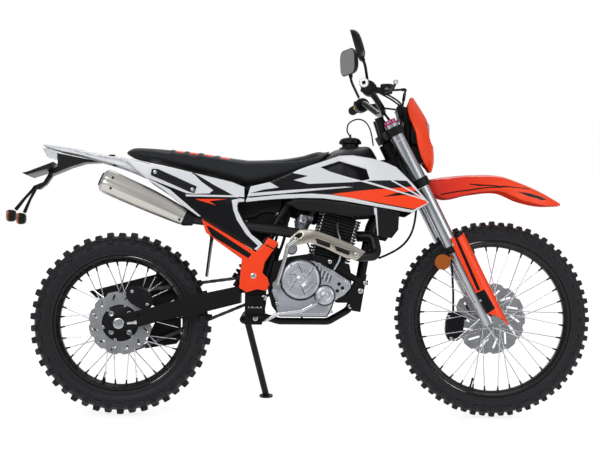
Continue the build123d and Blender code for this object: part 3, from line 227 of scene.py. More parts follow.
# the nodes' own flat faces keep their shading, softened by the Bevel node
NODE_FINISH = {
    FRAME: "frame subframe swingarm footpegs plate_bracket side_stand triple_clamps",
    STEEL: "rear_axle front_axle pedals kick_lever",
    DARK_CAST: "rear_caliper front_caliper rear_hub crankcase",
    BLACK: "chain_guard inner_fender controls instrument mirrors lower_panels fuel_cap",
    CHAIN: "chain rear_sprocket",
    DISC: "rear_disc front_disc",
    CAST: "engine_covers",
    FIN: "cylinder",
    RUBBER: "intake grips clutch_cable brake_hose rear_indicators",
    PIPE: "exhaust_pipe",
    RIM: "rear_rim front_rim",
    CHROME: "front_hub",
    FORK: "fork_tubes fork_sliders",
    LENS: "headlamp tail_lamp",
    AMBER: "reflectors",
    MIRROR: "mirror_glass",
    GLOSS: "handlebar",
}
for finish, names in NODE_FINISH.items():
    for name in names.split():
        holder = nodes[name]
        if not holder.material_slots:
            holder.data.materials.append(finish)
        for each in holder.material_slots:
            each.material = finish


# ---------------------------------------------------------------- mesh helpers
BOTH = True


def piece(name, body, parts, stands_for="", sharp=38.0):
    """Make a piece of parts, lean it into the frame and let it ride on a body.

    A part is its finish, or one for each face, then its (points, faces), and BOTH where its mirror image
    joins it.
    """
    spots, faces, kinds, finishes = [], [], [], []
    for finish, (own_points, own_faces), *both in parts:
        listed = finish if isinstance(finish, list) else [finish] * len(own_faces)
        for way in (1, -1) if both else (1,):
            base = len(spots)
            spots += [TO_FRAME @ Vector((x, way * y, z)) for x, y, z in own_points]
            for face, each in zip(own_faces, listed):
                if each not in finishes:
                    finishes.append(each)
                faces.append(tuple(base + i for i in face[::way]))
                kinds.append(finishes.index(each))
    mesh = bpy.data.meshes.new(name)
    mesh.from_pydata(spots, [], faces)
    for each in finishes:
        mesh.materials.append(each)
    mesh.polygons.foreach_set("material_index", kinds)
    whole = bmesh.new()
    whole.from_mesh(mesh)
    bmesh.ops.recalc_face_normals(whole, faces=whole.faces)
    whole.to_mesh(mesh)
    whole.free()
    mesh.polygons.foreach_set("use_smooth", [True] * len(mesh.polygons))
    mesh.set_sharp_from_angle(angle=radians(sharp))
    made = bpy.data.objects.new(name, mesh)
    bpy.context.scene.collection.objects.link(made)
    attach(made, body)
    if stands_for:
        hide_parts(stands_for)


def rings(rows, wrap=False):
    """Skin through rows of points that each close on themselves. wrap joins the last row to the first."""
    count = len(rows[0])
    spots = [Vector(p) for row in rows for p in row]
    faces = []
    for i in range(len(rows) if wrap else len(rows) - 1):
        a, b = i * count, (i + 1) % len(rows) * count
        faces += [(a + j, a + (j + 1) % count, b + (j + 1) % count, b + j) for j in range(count)]
    if not wrap:
        faces.append(tuple(reversed(range(count))))
        faces.append(tuple(range(len(spots) - count, len(spots))))
    return spots, faces


def lathe(profile, origin, axis, sides=40, wrap=False):
    """Turn a profile of (along, radius) about an axis."""
    axis = Vector(axis).normalized()
    across = axis.orthogonal().normalized()
    up = axis.cross(across)
    turns = [2 * pi * k / sides for k in range(sides)]
    rows = [
        [Vector(origin) + axis * along + (across * cos(t) + up * sin(t)) * max(radius, 0.01) for t in turns]
        for along, radius in points(profile)
    ]
    return rings(rows, wrap)


def tube(line, radius, sides=12):
    """Round tube along a line of points, of one radius or one for each point."""
    line = [Vector(p) for p in points(line)]
    radii = radius if isinstance(radius, list) else [radius] * len(line)
    across = (line[1] - line[0]).orthogonal().normalized()
    turns = [2 * pi * k / sides for k in range(sides)]
    rows = []
    for i, (at, size) in enumerate(zip(line, radii)):
        ahead = (line[min(i + 1, len(line) - 1)] - line[max(i - 1, 0)]).normalized()
        across = (across - ahead * across.dot(ahead)).normalized()
        up = ahead.cross(across)
        rows.append([at + (across * cos(t) + up * sin(t)) * size for t in turns])
    return rings(rows)


def curve(through, steps=8):
    """Smooth line through points, or smooth rows through rows of numbers."""
    rows = np.array([tuple(p) for p in points(through)], float)
    padded = np.vstack([2 * rows[0] - rows[1], rows, 2 * rows[-1] - rows[-2]])
    made = []
    for i in range(1, len(padded) - 2):
        before, start, end, after = padded[i - 1 : i + 3]
        linear = end - before
        square = 2 * before - 5 * start + 4 * end - after
        cube = 3 * start - before - 3 * end + after
        for t in [k / steps for k in range(steps)]:
            made.append(0.5 * (2 * start + linear * t + square * t**2 + cube * t**3))
    made.append(padded[-2])
    return made


def hose(route, radius, sides=10):
    """Tube on a smooth route."""
    return tube(curve(route, 8), radius, sides)


def measured(corners):
    """Smooth line through corners, with the distance along it at each of its points."""
    line = np.array(curve(corners, 6))
    return line, np.concatenate([[0], np.cumsum(np.linalg.norm(np.diff(line, axis=0), axis=1))])


def pairs(loop):
    """Each point of a closed loop with the next one."""
    return zip(loop, loop[1:] + loop[:1])


def softened(loop, times=2):
    """Closed loop with its corners cut."""
    loop = points(loop)
    for _ in range(times):
        loop = [
            tuple(np.multiply(here, share) + np.multiply(ahead, 1 - share))
            for here, ahead in pairs(loop)
            for share in (0.75, 0.25)
        ]
    return loop


def spaced(loop, gap):
    """Closed loop with points no further apart than gap."""
    made = []
    for here, ahead in pairs(loop):
        count = max(1, int(hypot(ahead[0] - here[0], ahead[1] - here[1]) / gap))
        for t in [k / count for k in range(count)]:
            made.append((here[0] + (ahead[0] - here[0]) * t, here[1] + (ahead[1] - here[1]) * t))
    return made


def inset(loop, amount):
    """Closed loop moved inwards."""
    turn = 1 if sum(a[0] * b[1] - b[0] * a[1] for a, b in pairs(loop)) > 0 else -1
    made = []
    for i, here in enumerate(loop):
        before, ahead = Vector(loop[i - 1]), Vector(loop[(i + 1) % len(loop)])
        first, second = (Vector(here) - before).normalized(), (ahead - Vector(here)).normalized()
        normal = Vector((-first.y - second.y, first.x + second.x)) * turn
        if normal.length < 1e-6:
            normal = Vector((-first.y, first.x)) * turn
        normal.normalize()
        miter = min(2.0, 1 / max(0.2, normal.dot(Vector((-first.y, first.x)) * turn)))
        made.append((here[0] + normal.x * amount * miter, here[1] + normal.y * amount * miter))
    return made


def plate(outline, low_y, high_y, chamfer=1.5):
    """Plate with an outline in X and Z and chamfered edges."""
    outline = points(outline)
    inner = inset(outline, chamfer)
    levels = [(inner, low_y), (outline, low_y + chamfer), (outline, high_y - chamfer), (inner, high_y)]
    return rings([[(x, y, z) for x, z in loop] for loop, y in levels])


def level(y, places):
    """Points at one Y for places given in X and Z."""
    return [(x, y, z) for x, z in points(places)]


def shifted(outline, by_x, by_z):
    """Outline in X and Z given from another origin."""
    return [(x + by_x, z + by_z) for x, z in points(outline)]


def circle(count, radius, centre, start):
    """Points evenly round a circle that faces the side."""
    turns = [2 * pi * k / count + start for k in range(count)]
    return [(centre[0] + cos(t) * radius, centre[1], centre[2] + sin(t) * radius) for t in turns]


def within(spots, loop):
    """Which of an array of points lie inside a closed loop."""
    found = np.zeros(len(spots), bool)
    for (x1, y1), (x2, y2) in pairs(loop):
        crosses = (y1 > spots[:, 1]) != (y2 > spots[:, 1])
        slope = (x2 - x1) / (y2 - y1) if y2 != y1 else 0
        found ^= crosses & (spots[:, 0] < x1 + (spots[:, 1] - y1) * slope)
    return found


def off_border(spots, loops):
    """Distance of each point from the nearest of the loops."""
    best = np.full(len(spots), 1e9)
    for a, b in [pair for loop in loops for pair in pairs(loop)]:
        start, run = np.array(a), np.subtract(b, a)
        along = np.clip((spots - start) @ run / max(run @ run, 1e-9), 0, 1)
        best = np.minimum(best, np.linalg.norm(spots - start - along[:, None] * run, axis=1))
    return best


BORDER_STEP, ZONE_STEP = 6, 8
ROW_SPACING = 0.87  # of rows of points in triangles, in gaps


def skin(outline, zones, place, base, thickness=3.0, gap=9.0, rounded=2.0, holes=(), outward=RIGHT):
    """Part on the surface place(u, v), its edges rounded, its finish painted over in zones, in order."""
    outline = points(outline)
    zones = [(finish, list(points(loop))) for finish, loop in zones]
    borders = [spaced(list(points(loop)), BORDER_STEP) for loop in (outline, *holes)]
    spots, edges = [], []
    for loop in borders + [spaced(loop, ZONE_STEP) for _, loop in zones]:
        first = len(spots)
        spots += loop
        edges += [(first + i, first + (i + 1) % len(loop)) for i in range(len(loop))]

    def inside(found):
        good = within(found, borders[0])
        for hole in borders[1:]:
            good &= ~within(found, hole)
        return good

    def kept(extra, clear):
        extra = np.array(extra)
        return [tuple(p) for p in extra[inside(extra) & (off_border(extra, borders) > clear)]]

    for loop in borders:
        for step in (0.3 * rounded, rounded):
            spots += kept(inset(loop, step) + inset(loop, -step), 0.8 * step)
    low, high = np.min(outline, 0), np.max(outline, 0)
    grid = [
        (x + (gap / 2 if row % 2 else 0), y)
        for row, y in enumerate(np.arange(low[1], high[1], gap * ROW_SPACING))
        for x in np.arange(low[0], high[0], gap)
    ]
    spots += kept(grid, 2 * rounded)
    flat, _, triangles, *_ = delaunay_2d_cdt([Vector(p) for p in spots], edges, [], 0, 1e-3)
    flat, triangles = np.array([tuple(p) for p in flat]), np.array(triangles)
    triangles = triangles[inside(flat[triangles].mean(1))]
    middles = flat[triangles].mean(1)
    kinds = [base] * len(triangles)
    for finish, loop in zones:
        for i in np.flatnonzero(within(middles, loop)):
            kinds[i] = finish

    used, triangles = np.unique(triangles, return_inverse=True)
    flat, triangles = flat[used], triangles.reshape(-1, 3)
    outer = np.array([tuple(place(u, v)) for u, v in flat])
    facing = np.cross(
        outer[triangles[:, 1]] - outer[triangles[:, 0]], outer[triangles[:, 2]] - outer[triangles[:, 0]]
    )
    normals = np.zeros_like(outer)
    for corner in range(3):
        np.add.at(normals, triangles[:, corner], facing)
    normals /= np.maximum(np.linalg.norm(normals, axis=1, keepdims=True), 1e-9)
    if facing.sum(0) @ np.array(outward) < 0:
        normals = -normals
    near = np.clip(rounded - off_border(flat, borders), 0, rounded)
    drop = rounded - np.sqrt(np.maximum(rounded**2 - near**2, 0))
    inner = outer - normals * thickness
    outer = outer - normals * drop[:, None]

    count = len(outer)
    faces = [tuple(int(i) for i in t) for t in triangles]
    sides = {pair: number for number, t in enumerate(faces) for pair in pairs(t)}
    rim = [(a, b, number) for (a, b), number in sides.items() if (b, a) not in sides]
    faces += [tuple(count + i for i in reversed(t)) for t in faces]
    faces += [(b, a, count + a, count + b) for a, b, _ in rim]
    kinds += [base] * len(kinds) + [kinds[number] for *_, number in rim]
    return kinds, ([Vector(p) for p in np.vstack([outer, inner])], faces)


def profile_at(table, x):
    """Row of numbers at x, on smooth curves through a table whose first column is x."""
    rows = np.array(points(table), float)
    xs = rows[:, 0]
    last = len(xs) - 1
    i = int(np.clip(np.searchsorted(xs, x) - 1, 0, last - 1))

    def slope(k):
        before, after = max(k - 1, 0), min(k + 1, last)
        return (rows[after] - rows[before]) / (xs[after] - xs[before])

    width = xs[i + 1] - xs[i]
    t = min(max((x - xs[i]) / width, 0), 1)
    return (
        (1 + 2 * t) * (1 - t) ** 2 * rows[i]
        + t * (1 - t) ** 2 * width * slope(i)
        + t * t * (3 - 2 * t) * rows[i + 1]
        + t * t * (t - 1) * width * slope(i + 1)
    )[1:]


def bolt(at, axis, size=7.0, height=5.0):
    """Flanged hexagon head."""
    flange = lathe([(0, size), (height * 0.25, size), (height * 0.4, size * 0.8)], at, axis, 20)
    head = lathe([(0, size * 0.68), (height * 0.85, size * 0.68), (height, size * 0.58)], at, axis, 6)
    base = len(flange[0])
    return flange[0] + head[0], flange[1] + [tuple(base + i for i in face) for face in head[1]]


def bolts(finish, places, axis, size, height, *both):
    """Parts for bolts of one size."""
    return [(finish, bolt(at, axis, size, height), *both) for at in points(places)]


def ball(at, radius):
    """Sphere."""
    return lathe([(-radius * cos(pi * k / 10), radius * sin(pi * k / 10)) for k in range(11)], at, UP, 20)


def rounded(wide, tall, radius, steps=6):
    """Rounded rectangle about the origin."""
    loop = []
    for k, (a, b) in enumerate(((1, 1), (-1, 1), (-1, -1), (1, -1))):
        for i in range(steps + 1):
            turn = pi / 2 * (k + i / steps)
            x = a * (wide / 2 - radius) + cos(turn) * radius
            loop.append((x, b * (tall / 2 - radius) + sin(turn) * radius))
    return loop


def stacked(loop, levels, origin, out=AHEAD, across=LEFT, up=UP):
    """Skin through a loop repeated at (depth, scale) levels along a direction."""
    return rings(
        [
            [origin + out * depth + across * (x * scale) + up * (y * scale) for x, y in loop]
            for depth, scale in points(levels)
        ]
    )


def mirrored_loop(loop):
    """Loop on the other side of its first axis, in the same order."""
    return [(x, -s) for x, s in points(loop)]


# ---------------------------------------------------------------- tyres, nipples and valves
# for each wheel: axle, half profile of the carcass (across and radius), lug pitches, lug rows, rim radius
# and lacing
# lug rows: offset from the middle, radius of the tip, height, length, width, tilt and phase
# lacing: flange radius, flange distance from the middle, sweep of a spoke in degrees
WHEELS = {
    "rear": (
        REAR_AXLE,
        "31,239 35,241 38,247 44,255 48,264 49.5,274 48,284 43.5,293 36,300 25,305.5 12,308.5 0,309",
        23,
        """
        0,323,15,21,36,0,0 23,319,14,20,15,14,0.5 42,308,18,22,18,42,0.5 53,293,12,20,20,60,0
        53,280,7,14,11,80,0.5
        """,
        238.0,
        (42, 32, 64),
    ),
    "front": (
        FRONT_AXLE,
        "26,278 29,280 31.5,285 36,292 38.5,299 39,307 37.5,316 34,323 28,329 19,333.5 9,335.7 0,336",
        32,
        """
        0,348,13,17,30,0,0 19,344.5,12,16,12,14,0.5 34,334.5,15,18,15,42,0.5 43,321,11,17,17,60,0
        43,310,6,11,9,80,0.5
        """,
        277.0,
        (34, 30, 66),
    ),
}
SPOKES = 36
WELL_DEPTH = 21
VALVE_TURN = 0.3


def lug(axle, turn, across, tip, height, along, wide, tilt):
    """One tread block with chamfered edges and sides that widen towards the carcass."""
    out = Vector((sin(turn), 0, cos(turn)))
    ahead = Vector((cos(turn), 0, -sin(turn)))
    side = Vector((0, 1 if across >= 0 else -1, 0))
    up = out * cos(radians(tilt)) + side * sin(radians(tilt))
    over = side * cos(radians(tilt)) - out * sin(radians(tilt))
    top = axle + Vector((0, across, 0)) + out * tip
    rows = []
    for down, grow in ((0.0, -1.6), (1.5, 0.0), (height, 1.8), (height + 3, 1.8)):
        x, y = along / 2 + grow, wide / 2 + grow
        corners = ((x, y), (-x, y), (-x, -y), (x, -y))
        rows.append([top - up * down + ahead * a + over * b for a, b in corners])
    return rings(rows)


def spoke_ends(axle, bore, lacing):
    """Ends of each spoke at the hub and at the rim."""
    flange_radius, flange_y, sweep = lacing
    inner, outer = flange_radius - 4, bore - WELL_DEPTH + 5
    ends = []
    for number in range(SPOKES):
        side = 1 if number % 2 == 0 else -1
        lead = 1 if number // 2 % 2 == 0 else -1
        at_rim = radians(360 / SPOKES * (number + 0.5))
        at_hub = at_rim + radians(lead * sweep)
        hub_y, rim_y = side * (flange_y + 2.8 * lead), side * (4 + 1.8 * lead)
        hub_end = axle + Vector((-sin(at_hub) * inner, hub_y, -cos(at_hub) * inner))
        rim_end = axle + Vector((-sin(at_rim) * outer, rim_y, -cos(at_rim) * outer))
        ends.append((hub_end, rim_end))
    return ends


for wheel, (axle, half, pitches, lug_rows, bore, lacing) in WHEELS.items():
    half = points(half)
    smooth = [tuple(p) for p in curve(half, 3)]
    section = smooth + [(-y, r) for y, r in reversed(smooth[:-1])]
    tyre = [(TYRE, lathe(section, axle, LEFT, 160, wrap=True))]
    for bead in (0.0, 4.5):
        y, r = half[2][0] + bead * 0.8, half[2][1] + bead * 1.6
        for side in (-1, 1):
            ridge = [(side * (y - 3), r - 2), (side * (y + 1.1), r), (side * (y - 2), r + 2.5)]
            tyre.append((TYRE, lathe(ridge, axle, LEFT, 120, wrap=True)))
    for k in range(pitches):
        for across, *sizes, phase in points(lug_rows):
            turn = 2 * pi * (k + phase) / pitches + pi
            tyre += [(TYRE, lug(axle, turn, y, *sizes)) for y in ((across, -across) if across else (0.0,))]
    piece(f"{wheel}_tread_tyre", f"{wheel}_wheel", tyre, f"{wheel}_tyre", sharp=30)

    nipples = []
    for hub_end, rim_end in spoke_ends(axle, bore, lacing):
        run = (hub_end - rim_end).normalized()
        nipples += [
            (DARK_CAST, lathe("4,4.2 7,4.2 8,3.2 19,2.8 20,2", rim_end, run, 12)),
            (STEEL, lathe("-5,3 -2,3.4 1,3", hub_end, run, 10)),
        ]
    well = bore - WELL_DEPTH + 2
    valve = axle + Vector((-sin(VALVE_TURN) * well, 0, -cos(VALVE_TURN) * well))
    stem = lathe("0,5.5 4,5.5 6,3.4 26,3.2 27,4.2 36,4 37,2.5", valve, axle - valve, 16)
    piece(f"{wheel}_nipples", f"{wheel}_wheel", [*nipples, (RUBBER, stem)])

# rear hub with its spokes: along the axle and radius
HUB_PROFILE = """
    -56,20 -54.5,22 -46,22 -44,30 -44,71 -43,73 -38.5,73 -37.8,71 -37.8,44 -36,42 -28,42 -26,34 0,30
    26,34 28,42 36,42 38,32 58,32 60,46 65.8,46 66,20
"""
hub_face = REAR_AXLE + RIGHT * 44
piece("laced_rear_hub", "rear_wheel", [
    (DARK_CAST, lathe(HUB_PROFILE, REAR_AXLE, LEFT, 64)),
    *[
        (CHROME, lathe([(0, 2.0), ((rim_end - hub_end).length, 2.0)], hub_end, rim_end - hub_end, 8))
        for hub_end, rim_end in spoke_ends(REAR_AXLE, *WHEELS["rear"][4:])
    ],
    *bolts(STEEL, circle(6, 62, hub_face, 0.25), RIGHT, 5.5, 4),
    *[
        (STEEL, lathe("0,9.5 1,9.5 1.4,8 0.6,6 0.6,0", window, RIGHT, 24))
        for window in circle(4, 45, hub_face, 0.78)
    ],
], "rear_hub")

# ---------------------------------------------------------------- tank, cap and seat
# x, half width low and high, bottom, shoulder and crown heights
TANK_ROWS = """
    666,96,90,858,872,884 705,112,108,812,886,908 745,122,116,798,902,943 790,130,122,796,908,956
    845,112,104,796,918,962 880,78,70,800,926,960 905,48,42,830,900,925
"""
SEAT_ROWS = points("""
    9,52,50,928,933,937 32,84,79,921,936,945 100,98,92,907,931,943 168,108,100,893,924,938
    276,112,104,868,910,927 350,112,102,850,898,916 420,112,100,832,888,907 462,110,98,824,885,904
    562,98,88,848,890,909 636,88,76,878,902,921 668,84,70,890,912,931 700,80,64,908,924,940
    736,76,58,940,943,950
""")
RIBS = (181, 231, 281, 340)
RIB_HEIGHT, RIB_HALF_WIDTH = 2.6, 9
SEAM_DEPTH, SEAM_HALF_WIDTH, SEAM_SHARE = 1.6, 3.0, 0.78
CAP_X = 811


def body_loop(row):
    """Closed section of a crowned body at one row of its table."""
    x, half_low, half_high, low, side, top = row
    shoulder = side + (top - side) * 0.62
    loop = [
        (-half_low, low),
        (-half_low * 0.4, low),
        (half_low * 0.4, low),
        (half_low, low),
        ((half_low + half_high) / 2 + 1, (low + side) / 2),
        (half_high, side),
        (half_high * 0.72, shoulder),
        (half_high * 0.32, top),
        (-half_high * 0.32, top),
        (-half_high * 0.72, shoulder),
        (-half_high, side),
        (-(half_low + half_high) / 2 - 1, (low + side) / 2),
    ]
    return [(x, y, z) for y, z in softened(loop)]


piece("smooth_tank", "chassis", [
    (TANK, rings([body_loop(row) for row in curve(TANK_ROWS, 6)])),
    (TANK, lathe("-14,47 -4,45 4,41 9,37", (CAP_X, 0, 950), UP, 48)),
], "fuel_tank", sharp=50)

CAP_SIDES, CAP_WAVE, CAP_HEIGHT = 96, 0.055, 24
crown_rows = []
for along, radius in points("0,38 3,41 12,39.5 20,34 24,25 25.5,14 26,4"):
    wave = CAP_WAVE * (1 - min(1, along / CAP_HEIGHT)) if radius > 15 else 0
    row = []
    for k in range(CAP_SIDES):
        turn = 2 * pi * k / CAP_SIDES
        reach = radius * (1 + (wave if k % 8 < 4 else -wave)) / 1.05
        row.append((CAP_X + cos(turn) * reach, sin(turn) * reach, 972 + along * 0.92))
    crown_rows.append(row)
BREATHER_ROUTE = """
    811,0,1000 800,4,1020 806,12,1048 834,18,1064 862,16,1058 880,12,1034 889,8,1002 894,5,968
"""
piece("ribbed_cap", "chassis", [
    (BLACK, lathe("0,30 14,30 16,34 20,36", (CAP_X, 0, 956), UP, 48)),
    (BLACK, rings(crown_rows)),
    (BLACK, lathe("0,6 3,6 4,4 12,4 13,3", (CAP_X, 0, 994), UP, 16)),
    (RUBBER, hose(BREATHER_ROUTE, 2.6, 8)),
], "fuel_cap")


def puffed(name, spots, faces, voxel, pressure, cap_at):
    """Mesh swollen by a short cloth run with inner pressure, each point moved no more than cap_at."""
    mesh = bpy.data.meshes.new(name)
    mesh.from_pydata([TO_FRAME @ Vector(p) for p in spots], [], faces)
    made = bpy.data.objects.new(name, mesh)
    bpy.context.scene.collection.objects.link(made)
    bpy.context.view_layer.objects.active = made

    def applied(kind, **values):
        modifier = made.modifiers.new(kind.lower(), kind)
        for key, value in values.items():
            setattr(modifier, key, value)
        return modifier

    def bake():
        baked = bpy.data.meshes.new_from_object(made.evaluated_get(bpy.context.evaluated_depsgraph_get()))
        made.modifiers.clear()
        made.data = baked

    applied("REMESH", mode="VOXEL", voxel_size=voxel)
    bake()
    rest = [v.co.copy() for v in made.data.vertices]
    cloth = applied("CLOTH")
    cloth.settings.use_pressure = True
    cloth.settings.uniform_pressure_force = pressure
    cloth.settings.effector_weights.gravity = 0
    for step in range(1, 21):
        bpy.context.scene.frame_set(step)
    bake()
    bpy.context.scene.frame_set(1)
    for vertex, start in zip(made.data.vertices, rest):
        moved = vertex.co - start
        if moved.length > cap_at:
            vertex.co = start + moved.normalized() * cap_at
    applied("SMOOTH", factor=0.5, iterations=4)
    bake()
    applied("SUBSURF", levels=1)
    bake()
    return made


seat_points, seat_faces = rings([body_loop(row) for row in curve(SEAT_ROWS, 5)])
seat = puffed("padded_seat", seat_points, seat_faces, voxel=0.0055, pressure=4.0, cap_at=0.005)
BACK = TO_FRAME.inverted()
for vertex in seat.data.vertices:
    upright = BACK @ vertex.co
    crown = profile_at(SEAT_ROWS, upright.x)
    if upright.z > crown[3] - 4:
        raised = sum(RIB_HEIGHT * max(0, 1 - ((upright.x - rib) / RIB_HALF_WIDTH) ** 2) for rib in RIBS)
        off_seam = abs(abs(upright.y) - SEAM_SHARE * crown[1])
        seam = -SEAM_DEPTH * max(0, 1 - (off_seam / SEAM_HALF_WIDTH) ** 2)
        vertex.co = TO_FRAME @ (upright + Vector((0, 0, raised + seam)))
seat.data.materials.clear()
seat.data.materials.append(SEAT)
seat.data.materials.append(SEAT_RIB)
for face in seat.data.polygons:
    middle = BACK @ face.center
    crown = profile_at(SEAT_ROWS, middle.x)
    strip = any(rib + 10 < middle.x < rib + 40 for rib in RIBS) and abs(middle.y) < 0.76 * crown[1]
    face.material_index = 1 if strip and middle.z > crown[3] - 6 else 0
    face.use_smooth = True
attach(seat, "chassis")
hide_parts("seat")

# ---------------------------------------------------------------- side bodywork
# plans: x and half width; outlines and zones: x and z; later zones lie over earlier ones
SHROUD_PLAN = points("430,122 600,128 760,142 880,164 990,174 1090,168")
SHROUD = """
    457,809 520,824 596,857 659,882 708,898 767,919 812,921 882,909 931,894 966,878 1014,830 1081,754
    1049,736 1021,719 980,725 882,742 788,759 708,769 631,770 544,765 499,761 440,754
"""
SHROUD_WINDOW = "701,878 766,900 861,871 872,836 846,830 804,841 736,862"
SHROUD_ZONES = [
    (WHITE, """
    604,857 640,880 706,905 764,925 900,930 990,890 1016,830 950,832 870,830 813,825 661,819 608,832
    659,847
    """),
    (WHITE, "430,814 457,812 522,826 556,806 502,798 430,778"),
    (ORANGE, "741,784 857,797 946,803 1040,812 1090,762 1070,745 1021,732 901,754 813,769"),
    (GLOSS, "915,773 964,787 1045,797 1052,781 990,780"),
    (WHITE, """
    420,772 457,769 568,781 670,785 741,781 813,769 901,750 1021,728 1079,756 1095,740 1030,700 900,720
    768,745 679,755 568,750 420,740
    """),
    (WHITE, "430,781 457,785 590,797 786,810 815,808 724,800 590,787 430,772"),
    (WHITE, "699,878 804,844 1070,765 1070,761 804,838 692,874"),
    (WHITE, "855,831 1073,764 1073,760 855,826"),
    (WHITE, "948,835 1076,763 1075,758 946,830"),
    (WHITE, "968,884 1085,757 1076,752 962,872"),
]


def shroud_surface(x, z):
    """Point on the right shroud, which leans inwards above its crease."""
    (half,) = profile_at(SHROUD_PLAN, x)
    crease = 876 - (max(x, 700) - 700) * 0.318
    return Vector((x, -half + 0.16 * max(0.0, z - crease), z))


shroud = skin(SHROUD, SHROUD_ZONES, shroud_surface, GLOSS, thickness=6, holes=[SHROUD_WINDOW])
piece("graphic_shrouds", "chassis", [(*shroud, BOTH)], "shrouds")

LOWER_PLAN = points("430,113 600,119 760,133 880,155 990,164")
LOWER = """
    579,752 620,766 708,765 788,755 882,738 976,722 973,660 950,630 900,640 893,712 806,704 736,718
    632,728
"""
LOWER_ZONES = [(WHITE, "887,745 897,745 904,636 896,636")]


def lower_surface(x, z):
    """Point on the right lower panel."""
    return Vector((x, -profile_at(LOWER_PLAN, x)[0], z))


lower = skin(LOWER, LOWER_ZONES, lower_surface, BLACK, thickness=7)
piece("lower_shroud_panels", "chassis", [(*lower, BOTH)], "lower_panels")

SIDE_PLAN = points("0,122 140,138 260,140 400,136 510,134")
SIDE = """
    9,907 107,884 247,857 394,823 436,806 436,755 415,753 411,737 429,703 457,650 502,607 481,584
    282,698 226,736 159,789 96,830 44,875
"""
SIDE_ZONES = [
    (WHITE, "0,930 38,912 240,868 287,822 327,794 314,782 261,780 234,782 87,839 38,881 0,897"),
    (WHITE, "243,866 445,820 445,770 412,772"),
    (GLOSS, "250,854 260,852 414,771 405,767 314,816"),
    (WHITE, "241,865 256,861 420,776 412,769 330,812"),
    (ORANGE, "264,762 376,763 314,755 337,741"),
    (WHITE, "230,778 416,776 416,770 234,771"),
    (WHITE, "0,883 38,888 87,839 176,795 285,702 262,700 160,782 78,822"),
    (WHITE, """
    392,760 421,766 445,763 445,748 416,746 412,725 432,685 461,641 510,603 483,575 470,588 485,601
    444,640 411,690 398,725
    """),
]


def side_surface(x, z):
    """Point on the right side panel, creased along its length."""
    (half,) = profile_at(SIDE_PLAN, x)
    return Vector((x, -half + 4 * abs(z - 790 + 0.35 * (x - 250)) / 60, z))


piece("graphic_side_panels", "chassis", [
    (*skin(SIDE, SIDE_ZONES, side_surface, GLOSS, thickness=6), BOTH),
    (BLACK, plate("112,866 134,866 270,806 262,782 243,787 109,845", -141.5, -133, 1.5), BOTH),
    *bolts(STEEL, level(-141, "124,855 255,795"), RIGHT, 6.5, 4, BOTH),
], "side_panels")

GUARD = """
    286,696 303,645 429,555 420,454 446,438 485,449 513,444 527,465 520,489 502,507 509,542 537,584
    558,612 520,631 506,608 478,580
"""
GUARD_ZONES = [
    (GLOSS, "304,670 316,667 463,572 452,557 323,634"),
    (GLOSS, "509,604 540,588 542,592 511,608"),
]
piece("bolted_frame_guards", "chassis", [
    (*skin(GUARD, GUARD_ZONES, lambda x, z: (x, -126, z), ORANGE, thickness=7, rounded=3), BOTH),
    (ORANGE, lathe("0,11 32,11", (470, -90.5, 496), RIGHT, 24), BOTH),
    *bolts(STEEL, "470,-125.5,496", RIGHT, 10, 6, BOTH),
], "frame_guards")

# ---------------------------------------------------------------- fenders and mask
# x, half width low and high, bottom, shoulder and crown heights
FRONT_ROWS = points("""
    -232,60,56,455,483,495 -176,68,62,427,491,505 -79,74,68,445,499,513 20,74,68,453,497,511
    96,70,64,423,473,487 171,60,54,406,441,455 244,24,22,405,409,415
""")
REAR_ROWS = points("""
    -286,36,34,954,957,961 -225,60,56,936,944,953 -153,74,70,921,933,942 -82,84,80,902,917,927
    6,94,88,876,904,914 98,98,92,838,884,895
""")


class Fender:
    """Arched shell from a table of sections, measured along x and across it from the crown."""

    def __init__(self, rows, origin):
        self.rows, self.origin, self.found = rows, origin, {}

    def section(self, x):
        key = round(x, 1)
        if key not in self.found:
            half_low, half_high, low, side, top = profile_at(self.rows, key)
            rise = top - side
            corners = [
                (0, top),
                (half_high * 0.45, top - rise * 0.12),
                (half_high * 0.85, top - rise * 0.55),
                (half_high + 1, side),
                ((half_low + half_high) / 2 + 1, (low + side) / 2),
                (half_low, low),
            ]
            self.found[key] = measured(corners)
        return self.found[key]

    def place(self, x, s):
        line, along = self.section(x)
        across = np.interp(abs(s), along, line[:, 0])
        return self.origin + Vector((x, across if s > 0 else -across, np.interp(abs(s), along, line[:, 1])))

    def outline(self, start, end, step=14):
        count = int((end - start) / step)
        xs = [start + (end - start) * k / count for k in range(count + 1)]
        edge = [(x, self.section(x)[1][-1]) for x in xs]
        return edge + mirrored_loop(reversed(edge))

    def painted(self, finish, loop):
        """Zones on both sides for a loop seen from the side, in X and Z from the origin."""
        made = []
        for x, z in points(loop):
            line, along = self.section(x)
            made.append((x, float(np.interp(-z, -line[:, 1], along))))
        return [(finish, made), (finish, mirrored_loop(made))]


front_fender = Fender(FRONT_ROWS, FRONT_AXLE)
FRONT_STRIPES = [
    "-190,441 -88,458 18,468 124,462 124,459 18,464 -88,453 -190,436",
    "-88,478 -35,475 18,471 71,468 71,465 18,467 -53,470 -88,475",
    "78,452 126,446 189,424 172,422 126,434",
]
zones = [zone for loop in FRONT_STRIPES for zone in front_fender.painted(GLOSS, loop)]
arch = front_fender.outline(-232, 243)
piece("striped_front_fender", "steering", [
    skin(arch, zones, front_fender.place, FENDER, thickness=4, gap=8, outward=UP),
    (BLACK, plate(shifted("-258,450 -258,460 -80,500 -80,490", *FRONT_ORIGIN), -25, 25)),
], "front_fender")

